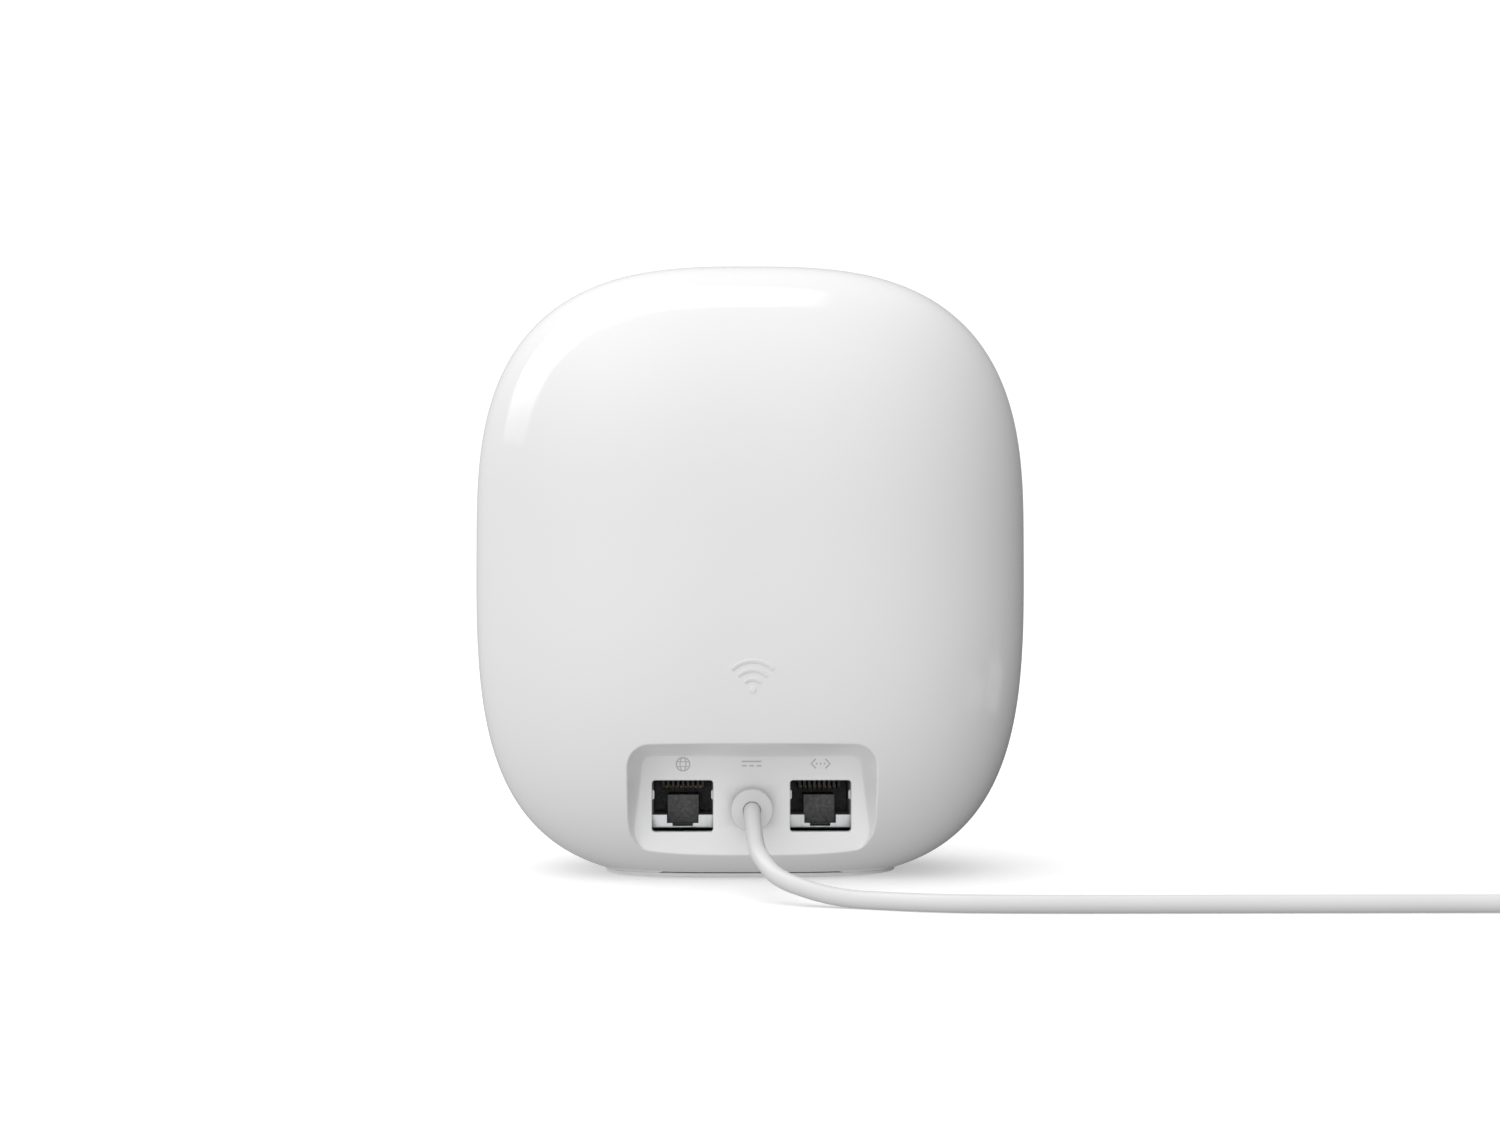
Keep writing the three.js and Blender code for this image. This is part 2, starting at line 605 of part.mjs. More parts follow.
function powerPlug() {
  const back = FLOOR_Y + GAP;
  const round = 0.35;
  const holeRadius = CORD_RADIUS + GAP;
  const profile = [
    [0, back],
    [PLUG_RADIUS, back],
    [PLUG_RADIUS, PLUG_FACE - round],
    [PLUG_RADIUS - round, PLUG_FACE],
    [holeRadius, PLUG_FACE],
    [holeRadius, CORD_START - GAP],
    [0, CORD_START - GAP],
  ];
  place("power_plug", "cord_white", turnedY(profile, 0, PLUG_Z, 28));
  const barrel = [
    [BARREL_BORE, FLOOR_Y - BARREL_LENGTH],
    [BARREL_RADIUS, FLOOR_Y - BARREL_LENGTH],
    [BARREL_RADIUS, FLOOR_Y],
    [BARREL_BORE, FLOOR_Y],
    [BARREL_BORE, FLOOR_Y - BARREL_LENGTH],
  ];
  place("power_plug_barrel", "steel", turnedY(barrel, 0, PLUG_Z, 16));
}

// ---- Cord, coil and ties ----------------------------------------------------------------------------------

// The cord's way from the plug's face down to the floor and along it to the coil.
const CORD_ROUTE = [
  [0, CORD_START, PLUG_Z],
  [0, 31.5, 15],
  [0, 35, 14.2],
  [-0.1, 38.5, 13.1],
  [-0.2, 42, 12],
  [-0.4, 46.2, 10.6],
  [-0.8, 50, 9.2],
  [-1.6, 52.8, 8],
  [-2.7, 55.2, 6.7],
  [-4.2, 57.3, 5.4],
  [-6.4, 59.1, 4.3],
  [-9, 60.5, 3.5],
  [-12, 61.7, 2.7],
  [-15.2, 62.7, 2.1],
  [-19, 63.9, 1.75],
  [-23.5, 65.6, CORD_RADIUS],
  [-29, 67.7, CORD_RADIUS],
  [-37, 69.6, CORD_RADIUS],
  [-48, 70.4, CORD_RADIUS],
  [-64, CORD_Y, CORD_RADIUS],
  [-90, CORD_Y, CORD_RADIUS],
  [-115, CORD_Y, CORD_RADIUS],
  [-140, CORD_Y, CORD_RADIUS],
  [-156, CORD_Y, 1.9],
  [COIL_X + COIL_CLEAR, CORD_Y, COIL_LOW + CORD_RADIUS],
];

function cordTube(name, route, steps) {
  const curve = new THREE.CatmullRomCurve3(route.map(([x, y, z]) => new THREE.Vector3(x, y, z)));
  const section = new THREE.Shape();
  section.absarc(0, 0, CORD_RADIUS, 0, 2 * Math.PI, false);
  const geometry = new THREE.ExtrudeGeometry(section, { steps, extrudePath: curve, curveSegments: 4 });
  place(name, "cord_white", solid(geometry));
}

function coil() {
  const inner = COIL_OUTER_TURN - COIL_TURNS_PER_LAYER * COIL_TURN_STEP - CORD_RADIUS - 0.1;
  const outer = COIL_OUTER_TURN + CORD_RADIUS + 0.1;
  const high = COIL_LOW + 2 * CORD_RADIUS + (COIL_LAYERS - 1) * COIL_TURN_STEP + 0.1;
  const round = 1.2;
  const profile = [
    [inner, COIL_LOW + round],
    [inner + round, COIL_LOW],
    [outer - round, COIL_LOW],
    [outer, COIL_LOW + round],
    [outer, high - round],
    [outer - round, high],
    [inner + round, high],
    [inner, high - round],
    [inner, COIL_LOW + round],
  ];
  place("power_cord_coil", "cord_white", turnedZ(profile, COIL_X, COIL_Y, 28));

  TIE_ANGLES.forEach((degrees, i) => {
    // The inner side stands a little further off, where the ring curves towards the tie's edges.
    const loop = (grow) =>
      roundedRectangle(inner - 0.4 - grow, outer + grow, COIL_LOW - grow, high + grow, 0.8, 0.8, 3);
    const band = slabY(loop(GAP + TIE_THICKNESS), -TIE_WIDTH / 2, TIE_WIDTH / 2);
    const room = slabY(loop(GAP), -TIE_WIDTH, TIE_WIDTH);
    const tie = band.subtract(room).rotate([0, 0, degrees]).translate([COIL_X, COIL_Y, 0]);
    place(`cable_tie_${i + 1}`, "tie_black", tie);
  });
}

// ---- Wall adapter -----------------------------------------------------------------------------------------

const RELIEF_Z = ADAPTER_HEIGHT / 2;
const RELIEF_TIP_Y = ADAPTER_FRONT_Y + 14;
const COIL_TOP_TURN_Z = COIL_LOW + CORD_RADIUS + (COIL_LAYERS - 1) * COIL_TURN_STEP;

function adapter() {
  const left = ADAPTER_X - ADAPTER_HALF_WIDTH;
  const right = ADAPTER_X + ADAPTER_HALF_WIDTH;
  const outline = (inset) =>
    roundedRectangle(left + inset, right - inset, ADAPTER_BACK_Y + inset, ADAPTER_FRONT_Y - inset, 8 - inset);
  const split = ADAPTER_HEIGHT / 2;
  const reliefHole = rodY(ADAPTER_X, RELIEF_Z, 3.2, ADAPTER_FRONT_Y - 4, ADAPTER_FRONT_Y + 1);
  const bladeSlots = [-1, 1].map((side) => {
    const x = ADAPTER_X + (side * BLADE_SPACING) / 2;
    const across = [x - BLADE_HALF_THICKNESS - GAP, x + BLADE_HALF_THICKNESS + GAP];
    const along = [ADAPTER_Y - BLADE_HALF_WIDTH - GAP, ADAPTER_Y + BLADE_HALF_WIDTH + GAP];
    return box(across, along, [ADAPTER_HEIGHT - 4, ADAPTER_HEIGHT + 1]);
  });
  const lower = slabZ(outline(0), 0, split - GAP / 2);
  const lowerRoom = slabZ(outline(ADAPTER_WALL), ADAPTER_WALL, split);
  place("adapter_front_case", "adapter_white", lower.subtract(lowerRoom).subtract(reliefHole));
  const upper = slabZ(outline(0), split + GAP / 2, ADAPTER_HEIGHT);
  const upperRoom = slabZ(outline(ADAPTER_WALL), split, ADAPTER_HEIGHT - ADAPTER_WALL);
  const upperHoles = union([upperRoom, reliefHole, ...bladeSlots]);
  place("adapter_back_case", "adapter_white", upper.subtract(upperHoles));

  [-1, 1].forEach((side, i) => {
    const x = ADAPTER_X + (side * BLADE_SPACING) / 2;
    const top = ADAPTER_HEIGHT + 16.5;
    const along = [ADAPTER_Y - BLADE_HALF_WIDTH, ADAPTER_Y + BLADE_HALF_WIDTH];
    const shank = box([x - BLADE_HALF_THICKNESS, x + BLADE_HALF_THICKNESS], along, [ADAPTER_HEIGHT - 5, top]);
    const foot = box([x - 2, x + 2], along, [ADAPTER_HEIGHT - 6, ADAPTER_HEIGHT - 5]);
    const hole = new THREE.CylinderGeometry(1.6, 1.6, 6, 10);
    hole.rotateZ(Math.PI / 2);
    hole.translate(x, ADAPTER_Y, top - 4);
    place(`adapter_blade_${i + 1}`, "steel", shank.add(foot).subtract(solid(hole)));
  });

  const bore = CORD_RADIUS + GAP;
  const relief = [
    [bore, ADAPTER_FRONT_Y - 5],
    [4.2, ADAPTER_FRONT_Y - 5],
    [4.2, ADAPTER_FRONT_Y - 2.6],
    [2.9, ADAPTER_FRONT_Y - 2.6],
    [2.9, ADAPTER_FRONT_Y + 1],
    [2.4, RELIEF_TIP_Y],
    [bore, RELIEF_TIP_Y],
    [bore, ADAPTER_FRONT_Y - 5],
  ];
  place("adapter_strain_relief", "cord_white", turnedY(relief, ADAPTER_X, RELIEF_Z, 16));

  const boardZ = 8;
  const boardAlong = [ADAPTER_BACK_Y + 5, ADAPTER_FRONT_Y - 8];
  const board = box([left + 5, right - 5], boardAlong, [boardZ, boardZ + 1.4]);
  place("adapter_board", "board_green", board);
  const [low, high] = [boardZ + 1.7, boardZ + 13];
  const transformer = box([ADAPTER_X - 12, ADAPTER_X + 5], [ADAPTER_Y - 8, ADAPTER_Y + 10], [low, high]);
  place("adapter_transformer", "chip_black", transformer);
  place("adapter_capacitor", "chip_black", rodZ(ADAPTER_X + 11, ADAPTER_Y - 12, 4.5, low, high, 14));
}

// From the top of the coil over to the adapter.
const CORD_END = [
  [ADAPTER_X, COIL_Y - COIL_CLEAR, COIL_TOP_TURN_Z],
  [ADAPTER_X, COIL_Y - COIL_CLEAR - 4, COIL_TOP_TURN_Z + 0.3],
  [ADAPTER_X, RELIEF_TIP_Y, RELIEF_Z],
  [ADAPTER_X, RELIEF_TIP_Y - 8, RELIEF_Z],
  [ADAPTER_X, ADAPTER_FRONT_Y - 4, RELIEF_Z],
];

// ---- Assembly ---------------------------------------------------------------------------------------------

caseShells();
base();
resetButton();
innerFrame();
antennas();
mainBoard();
heatSinks();
statusLight();
networkJack("wan", PORT_X);
networkJack("lan", -PORT_X);
powerJack();
powerPlug();
cordTube("power_cord", CORD_ROUTE, 44);
coil();
cordTube("power_cord_end", CORD_END, 10);
adapter();

export default router;
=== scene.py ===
"""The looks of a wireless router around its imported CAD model.

Finer pieces replace the case, base, jacks, plug, cord and wall adapter. The inner parts stay the CAD's.
"""

import json
import math

import bmesh
import bpy
import numpy as np
from mathutils import Matrix, Vector
from mathutils.geometry import tessellate_polygon


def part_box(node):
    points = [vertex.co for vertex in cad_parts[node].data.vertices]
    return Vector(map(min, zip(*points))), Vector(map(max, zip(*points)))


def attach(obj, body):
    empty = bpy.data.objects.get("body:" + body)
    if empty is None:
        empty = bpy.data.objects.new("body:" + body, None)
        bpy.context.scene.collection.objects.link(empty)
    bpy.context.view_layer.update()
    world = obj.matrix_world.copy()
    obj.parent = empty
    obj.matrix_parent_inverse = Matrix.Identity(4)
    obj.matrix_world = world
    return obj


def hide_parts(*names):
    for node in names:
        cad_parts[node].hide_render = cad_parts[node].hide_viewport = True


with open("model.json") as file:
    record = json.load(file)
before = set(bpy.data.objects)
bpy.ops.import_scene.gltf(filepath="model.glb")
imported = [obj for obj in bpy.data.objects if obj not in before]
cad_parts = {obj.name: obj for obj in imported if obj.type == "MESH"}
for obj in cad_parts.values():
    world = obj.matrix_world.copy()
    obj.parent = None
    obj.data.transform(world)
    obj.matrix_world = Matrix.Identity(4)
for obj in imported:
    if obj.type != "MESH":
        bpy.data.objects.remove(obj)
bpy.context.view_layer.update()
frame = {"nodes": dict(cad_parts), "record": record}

MM = 0.001  # shapes are worked out in millimetres and scaled when they become meshes
SLOT_OF = {part["node"]: part["material_slot"] for part in frame["record"]["subparts"]}
BODY_OF = {node: body for body, nodes in frame["record"]["behaviour"]["bodies"].items() for node in nodes}


def box_mm(node):
    """Lowest and highest corner of a CAD node, in millimetres."""
    return [np.array(corner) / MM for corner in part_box(node)]


def linked(name, data):
    """A new object that holds data, in the scene."""
    made = bpy.data.objects.new(name, data)
    bpy.context.scene.collection.objects.link(made)
    return made


def full_turn(count):
    """Angles spread evenly over a full turn."""
    return np.linspace(0, 2 * math.pi, count, endpoint=False)


# ---- Driving dimensions ----

GAP = 0.3  # between separate parts

# The case is a superellipsoid that is widest a little above its middle. Its numbers are the CAD's.
CASE_LOW, CASE_HIGH = box_mm("rear_shell")
HALF_WIDTH = CASE_HIGH[0]
HALF_DEPTH = CASE_HIGH[1]
RISE = 59.2
DROP = 71.7
WIDEST_Z = CASE_HIGH[2] - RISE
UPPER_POWER = 2.88
LOWER_POWER = 3.35
DEPTH_POWER = 2.58
WALL = 2.2
SPLIT_Y = -6.0
SHELL_BOTTOM = CASE_LOW[2]
EDGE = 0.22  # chamfer along the shells' edges

# The port recess. Its floor is wider low down than the CAD's and its lower edge is higher.
FLOOR_Y = 24.4
RECESS_HALF_WIDTH = 22.2  # of its floor, at the top
RECESS_WIDE = 24.95  # half its width where its sides meet the case
RECESS_TOP = 25.8
RECESS_BOTTOM = 5.3
RECESS_BOW = 1.0  # how much higher its bottom edge is towards the sides than in the middle
RECESS_TOP_RADIUS = 1.6
RECESS_BOTTOM_RADIUS = 5.6
RECESS_LOW_MIDDLE = RECESS_BOTTOM + RECESS_BOTTOM_RADIUS
RECESS_LEAN = math.radians(13)
SIDES_FROM = 2.5  # below this height the recess's sides no longer follow the case
RIM_ROUND = 0.28
FLOOR_ROUND = 0.4

# What is in the recess.
PORT_X = 14.1
PORT_HALF_WIDTH = 6.225
PORT_LOW = 10.35
PORT_HIGH = 20.8
PORT_RADIUS = 0.6
PLUG_Z = 15.1
PLUG_RADIUS = 4.25
PLUG_HOLE_RADIUS = 3.35  # in the recess floor behind the plug
PLUG_FACE = box_mm("power_plug")[1][1]
CORD_RADIUS = 1.7

LIGHT_Z = 24.0
LIGHT_RADIUS = 1.5

# ---- Camera ----

LENS = 49.9
CAMERA_PLACE = (0.0059, 0.45, 0.052)
CAMERA_RISE = math.radians(1.79)
CAMERA_TURN = math.radians(0.75)


def make_camera():
    data = bpy.data.cameras.new("camera")
    data.sensor_width = 36
    data.lens = LENS
    data.clip_start = 0.01
    camera = linked("camera", data)
    camera.location = CAMERA_PLACE
    level = math.cos(CAMERA_RISE)
    ahead = Vector((-math.sin(CAMERA_TURN) * level, -math.cos(CAMERA_TURN) * level, math.sin(CAMERA_RISE)))
    camera.rotation_euler = ahead.to_track_quat("-Z", "Y").to_euler()
    bpy.context.scene.camera = camera


make_camera()

# ---- Materials ----

NOISE_LOW = 0.3  # most of a noise texture's values lie between these two
NOISE_HIGH = 0.7


class Shader:
    """A principled material and short ways to add texture nodes to it."""

    def __init__(self, name, roughness, metallic=0.0, **sockets):
        self.material = bpy.data.materials.new(name)
        self.material.use_nodes = True
        self.tree = self.material.node_tree
        self.shader = self.tree.nodes["Principled BSDF"]
        self.place = self.node("ShaderNodeTexCoord").outputs["Object"]
        self.shader.inputs["Roughness"].default_value = roughness
        self.shader.inputs["Metallic"].default_value = metallic
        for word, value in sockets.items():
            socket = word.replace("_", " ").title().replace("Ior", "IOR")
            self.shader.inputs[socket].default_value = value

    def node(self, kind):
        return self.tree.nodes.new(kind)

    def link(self, source, target):
        self.tree.links.new(source, target)

    def stretched(self, scale):
        mapping = self.node("ShaderNodeMapping")
        mapping.inputs["Scale"].default_value = scale
        self.link(self.place, mapping.inputs["Vector"])
        return mapping.outputs["Vector"]

    def noise(self, scale, detail=3.0, stretch=(1, 1, 1)):
        made = self.node("ShaderNodeTexNoise")
        made.inputs["Scale"].default_value = scale
        made.inputs["Detail"].default_value = detail
        self.link(self.stretched(stretch), made.inputs["Vector"])
        return made.outputs["Fac"]

    def spread(self, fac, low, high):
        made = self.node("ShaderNodeMapRange")
        ends = {"From Min": NOISE_LOW, "From Max": NOISE_HIGH, "To Min": low, "To Max": high}
        for socket, value in ends.items():
            made.inputs[socket].default_value = value
        self.link(fac, made.inputs["Value"])
        return made.outputs["Result"]

    def two_colours(self, fac, first, second, start=NOISE_LOW, end=NOISE_HIGH):
        ramp = self.node("ShaderNodeValToRGB")
        for stop, place, colour in zip(ramp.color_ramp.elements, (start, end), (first, second)):
            stop.position = place
            stop.color = (*colour, 1)
        self.link(fac, ramp.inputs["Fac"])
        self.link(ramp.outputs["Color"], self.shader.inputs["Base Color"])

    def rough(self, fac, low, high):
        self.link(self.spread(fac, low, high), self.shader.inputs["Roughness"])

    def bump(self, height, distance, strength=1.0):
        """Height as relief, distance metres deep."""
        made = self.node("ShaderNodeBump")
        made.inputs["Strength"].default_value = strength
        made.inputs["Distance"].default_value = distance
        self.link(height, made.inputs["Height"])
        self.link(made.outputs["Normal"], self.shader.inputs["Normal"])


def grey(value):
    return (value, value, value)


def polished_white(name):
    s = Shader(name, 0.1, ior=1.5)
    s.two_colours(s.noise(25, 2), grey(0.8), grey(0.806), 0.35, 0.65)
    s.rough(s.noise(160, 4), 0.085, 0.125)
    s.bump(s.noise(900, 2), 0.000002)
    return s.material


def satin_white(name, tone, roughness, grain):
    s = Shader(name, roughness)
    s.two_colours(s.noise(60, 3), grey(tone * 0.985), grey(tone * 1.01), 0.35, 0.65)
    s.rough(s.noise(700, 3), roughness - 0.04, roughness + 0.05)
    s.bump(s.noise(grain, 2), 0.000004)
    return s.material


def moulded_black(name, tone, grain, spread=0.5):
    s = Shader(name, 0.55)
    fleck = s.noise(grain, 6)
    s.two_colours(fleck, grey(tone * (1 - spread)), grey(tone * (1 + spread)), 0.35, 0.68)
    s.rough(s.noise(grain / 2, 3), 0.45, 0.7)
    s.bump(fleck, 0.00005, 0.7)
    return s.material


def sheet_metal(name, colour, roughness, stretch):
    s = Shader(name, roughness, metallic=1.0)
    lines = s.noise(900, 4, stretch)
    dark = tuple(part * 0.82 for part in colour)
    s.two_colours(lines, dark, colour)
    s.rough(lines, roughness * 0.8, roughness * 1.25)
    s.bump(lines, 0.000006)
    return s.material


def circuit_board(name):
    s = Shader(name, 0.4, coat_weight=0.3, coat_roughness=0.2)
    tracks = s.node("ShaderNodeTexBrick")
    tracks.inputs["Scale"].default_value = 260
    tracks.inputs["Mortar Size"].default_value = 0.03
    greens = {"Color1": (0.012, 0.075, 0.035), "Color2": (0.009, 0.055, 0.028)}
    for socket, colour in {**greens, "Mortar": (0.03, 0.16, 0.075)}.items():
        tracks.inputs[socket].default_value = (*colour, 1)
    s.link(s.stretched((1, 1, 0.6)), tracks.inputs["Vector"])
    s.link(tracks.outputs["Color"], s.shader.inputs["Base Color"])
    s.bump(tracks.outputs["Fac"], 0.00003, 0.5)
    return s.material


def mottled(name, roughness, dark, light, tones, relief=None, sockets=None):
    """Two close tones by a noise of (scale, detail), with a relief of (scale, detail, depth in metres)."""
    s = Shader(name, roughness, **(sockets or {}))
    s.two_colours(s.noise(*tones), dark, light)
    if relief:
        scale, detail, depth = relief
        s.bump(s.noise(scale, detail), depth)
    return s.material


def woven_tie(name):
    s = Shader(name, 0.8, sheen_weight=0.5)
    wave = s.node("ShaderNodeTexWave")
    wave.bands_direction = "DIAGONAL"
    wave.inputs["Scale"].default_value = 900
    wave.inputs["Distortion"].default_value = 1.5
    s.link(s.place, wave.inputs["Vector"])
    s.two_colours(wave.outputs["Fac"], grey(0.012), grey(0.04))
    s.bump(wave.outputs["Fac"], 0.0001)
    return s.material


CLEAR = {"transmission_weight": 0.35, "ior": 1.46}

LOOKS = {
    "case_white": (polished_white,),
    # recess_white is lighter than the case's white: painted light that offsets the shade inside the port
    # recess.
    "recess_white": (satin_white, 0.87, 0.42, 1800),
    "base_white": (satin_white, 0.7, 0.4, 1800),
    "foot_rubber": (mottled, 0.75, grey(0.62), grey(0.68), (300, 4), (2500, 2, 0.00002)),
    "button_grey": (satin_white, 0.42, 0.45, 1600),
    "frame_black": (moulded_black, 0.02, 1200),
    # jack_black is lighter than the black of the other mouldings: painted light on the jack housings and the
    # blocks behind the latch.
    "jack_black": (moulded_black, 0.1, 1500, 0.35),
    "comb_black": (moulded_black, 0.035, 1500),
    "steel": (sheet_metal, (0.66, 0.67, 0.68), 0.34, (1, 1, 0.08)),
    # contact_gold is darkened to about half a gold's colour: painted shade on the contacts, which lie in the
    # shadow of the jack's mouth.
    "contact_gold": (sheet_metal, (0.45, 0.33, 0.15), 0.35, (1, 0.1, 1)),
    "aluminium": (sheet_metal, (0.6, 0.61, 0.63), 0.42, (1, 1, 0.05)),
    "board_green": (circuit_board,),
    "chip_black": (moulded_black, 0.018, 2600),
    "pad_blue": (mottled, 0.8, (0.2, 0.3, 0.38), (0.33, 0.45, 0.55), (900, 5), (1500, 3, 0.00004)),
    "light_clear": (mottled, 0.2, grey(0.78), grey(0.84), (400, 2), (1200, 2, 0.000004), CLEAR),
    "cord_white": (satin_white, 0.68, 0.42, 1400),
    "tie_black": (woven_tie,),
    "adapter_white": (satin_white, 0.78, 0.25, 1500),
    "printed_grey": (mottled, 0.4, grey(0.5), grey(0.54), (2500, 3)),
}
MATERIALS = {name: make(name, *values) for name, (make, *values) in LOOKS.items()}

for node, slot in SLOT_OF.items():
    frame["nodes"][node].data.materials.clear()
    frame["nodes"][node].data.materials.append(MATERIALS[slot])

# ---- Making pieces ----


def piece(name, points, faces, material=None, slot=None, smooth=45):
    """A mesh piece from points in millimetres. It stands for the CAD node of its name, if there is one."""
    mesh = bpy.data.meshes.new(name)
    mesh.from_pydata([tuple(float(v) * MM for v in p) for p in points], [], [tuple(f) for f in faces])
    tidy = bmesh.new()
    tidy.from_mesh(mesh)
    bmesh.ops.remove_doubles(tidy, verts=tidy.verts, dist=2e-6)
    bmesh.ops.dissolve_degenerate(tidy, edges=tidy.edges, dist=1e-6)
    bmesh.ops.recalc_face_normals(tidy, faces=tidy.faces)
    tidy.to_mesh(mesh)
    tidy.free()
    made = linked(name, mesh)
    slot = slot or SLOT_OF[name]
    mesh.materials.append(MATERIALS[material or slot])
    mesh.shade_smooth()
    mesh.set_sharp_from_angle(angle=math.radians(smooth))
    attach(made, BODY_OF.get(name, "router"))
    if name in BODY_OF:
        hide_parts(name)
    return made


def loop_faces(rows, columns):
    """Quads between neighbouring closed loops of as many points, numbered loop after loop."""
    faces = []
    for row in range(rows - 1):
        for column in range(columns):
            after = (column + 1) % columns
            first, second = row * columns, (row + 1) * columns
            faces.append((first + column, first + after, second + after, second + column))
    return faces


def lofted(loops, capped=True):
    """Points and faces of a body through loops of equal length, with a flat face at each end."""
    columns = len(loops[0])
    points = np.concatenate([np.asarray(loop, float) for loop in loops])
    faces = loop_faces(len(loops), columns)
    if capped:
        faces.append(tuple(reversed(range(columns))))
        last = (len(loops) - 1) * columns
        faces.append(tuple(range(last, last + columns)))
    return points, faces


def turned(profile, centre, axis, segments=48):
    """Loops of a body turned about an axis through centre, from pairs of (radius, place along the axis)."""
    angles = full_turn(segments)
    second, along = {"Y": (2, 1), "Z": (1, 2)}[axis]
    loops = []
    for radius, place in profile:
        loop = np.tile(np.asarray(centre, float), (segments, 1))
        loop[:, 0] += radius * np.cos(angles)
        loop[:, second] += radius * np.sin(angles)
        loop[:, along] = place
        loops.append(loop)
    return loops


NEARLY_HALF = 0.49  # so that two curves on one side don't meet


def rounded(profile, radius, steps=5):
    """An open line of 2D points with each inner corner turned into a small arc-like curve."""
    profile = [np.asarray(p, float) for p in profile]
    out = [profile[0]]
    for before, corner, after in zip(profile, profile[1:], profile[2:]):
        back, ahead = before - corner, after - corner
        lengths = np.linalg.norm(back), np.linalg.norm(ahead)
        reach = min(radius, lengths[0] * NEARLY_HALF, lengths[1] * NEARLY_HALF)
        start = corner + back / lengths[0] * reach
        end = corner + ahead / lengths[1] * reach
        for t in np.linspace(0, 1, steps):
            out.append((1 - t) ** 2 * start + 2 * t * (1 - t) * corner + t * t * end)
    out.append(profile[-1])
    return out


def rectangle(left, right, low, high, low_radius, high_radius=None, steps=8, straight=1):
    """The points round a rectangle with round corners, anticlockwise from the low left corner.

    Each corner has steps pieces, and every piece of the line is cut into straight equal ones.
    """
    high_radius = low_radius if high_radius is None else high_radius
    corners = [
        (left + low_radius, low + low_radius, low_radius, 180),
        (right - low_radius, low + low_radius, low_radius, 270),
        (right - high_radius, high - high_radius, high_radius, 0),
        (left + high_radius, high - high_radius, high_radius, 90),
    ]
    out = []
    for x, y, radius, start in corners:
        for angle in np.radians(np.linspace(start, start + 90, steps + 1)):
            out.append((x + radius * math.cos(angle), y + radius * math.sin(angle)))
    out = np.array(out)
    sides = np.roll(out, -1, axis=0) - out
    return np.stack([out + sides * i / straight for i in range(straight)], axis=1).reshape(-1, 2)


def on_plane(outline, y):
    """Points drawn in X and Z, placed at one depth."""
    return np.column_stack([outline[:, 0], np.full(len(outline), y), outline[:, 1]])


def flat(outline, z):
    """Points drawn in X and Y, placed at one height."""
    return np.column_stack([outline, np.full(len(outline), z)])


class Parts:
    """Collects the points and faces of one mesh that is made in several goes."""

    def __init__(self):
        self.points = []
        self.faces = []

    def add(self, points, faces):
        start = len(self.points)
        self.points += [tuple(p) for p in points]
        self.faces += [tuple(i + start for i in face) for face in faces]

    def loft(self, loops, capped=True):
        self.add(*lofted(loops, capped))

    def sleeves(self, *runs):
        """Skins that are open at both ends, one through each run of loops."""
        for loops in runs:
            self.loft(loops, capped=False)

    def plate(self, outer, holes):
        """A flat face inside one outline and round some holes, all of them in one plane."""
        loops = [outer, *holes]
        faces = tessellate_polygon([[Vector(p) for p in loop] for loop in loops])
        self.add(np.concatenate(loops), faces)

    def box(self, low, high):
        (x0, y0, z0), (x1, y1, z1) = low, high
        ring = np.array([(x0, y0), (x1, y0), (x1, y1), (x0, y1)], float)
        self.loft([flat(ring, z0), flat(ring, z1)])

    def piece(self, name, **looks):
        return piece(name, self.points, self.faces, **looks)


# ---- The case's surface ----

CENTRE = np.array([0, 0, WIDEST_Z])


def power_and_reach(z):
    """The power of the case's outline at height z, and its reach above or below the widest level."""
    above = z > WIDEST_Z
    return np.where(above, UPPER_POWER, LOWER_POWER), np.where(above, RISE, DROP)


def case_level(points, inset=0.0):
    """1 on the case's surface moved in by inset, and less inside it."""
    x, y, z = np.abs(points - CENTRE).T
    power, reach = power_and_reach(points[:, 2])
    across = (x / (HALF_WIDTH - inset)) ** power + (z / (reach - inset)) ** power
    depth = (y / (HALF_DEPTH - inset)) ** DEPTH_POWER
    return (across ** (DEPTH_POWER / power) + depth) ** (1 / DEPTH_POWER)


def slope(field, points, step=0.005):
    steps = np.eye(3) * step
    return np.stack([(field(points + s) - field(points - s)) / (2 * step) for s in steps], axis=1)


def case_distance(points, inset):
    """About how far points are outside the case's surface moved in by inset."""
    steep = np.linalg.norm(slope(lambda p: case_level(p, inset), points), axis=1)
    return (case_level(points, inset) - 1) / steep


def smooth_max(a, b, radius):
    share = np.clip(0.5 + 0.5 * (a - b) / radius, 0, 1)
    return b + (a - b) * share + radius * share * (1 - share)


def floor_half_width(z):
    """Half the recess floor's width. Its sides lean in from an even line on the curved case."""
    deep = np.maximum(0, surface_y(RECESS_WIDE, np.maximum(z, SIDES_FROM)) - FLOOR_Y)
    return RECESS_WIDE - deep * math.tan(RECESS_LEAN)


def recess_low(x):
    return RECESS_BOTTOM + RECESS_BOW * (x / RECESS_HALF_WIDTH) ** 2


def recess_distance(points, grow):
    """About how far points are outside the recess's hollow, which is grown on all sides by grow."""
    x, y, z = points.T
    out = (y - FLOOR_Y) * math.tan(RECESS_LEAN) + grow
    low, high = recess_low(x) - grow, RECESS_TOP + out
    radius = np.where(z > (low + high) / 2, RECESS_TOP_RADIUS, RECESS_BOTTOM_RADIUS) + out
    past_x = np.abs(x) - floor_half_width(z) - out + radius
    past_z = np.abs(z - (low + high) / 2) - (high - low) / 2 + radius
    corner = np.hypot(np.maximum(past_x, 0), np.maximum(past_z, 0))
    side = np.minimum(np.maximum(past_x, past_z), 0) + corner - radius
    return smooth_max(side * math.cos(RECESS_LEAN), FLOOR_Y - grow - y, FLOOR_ROUND)


def shell_distance(points, inset):
    """The case with the recess taken out of it and the recess's rim rounded."""
    return smooth_max(case_distance(points, inset), -recess_distance(points, inset), RIM_ROUND)


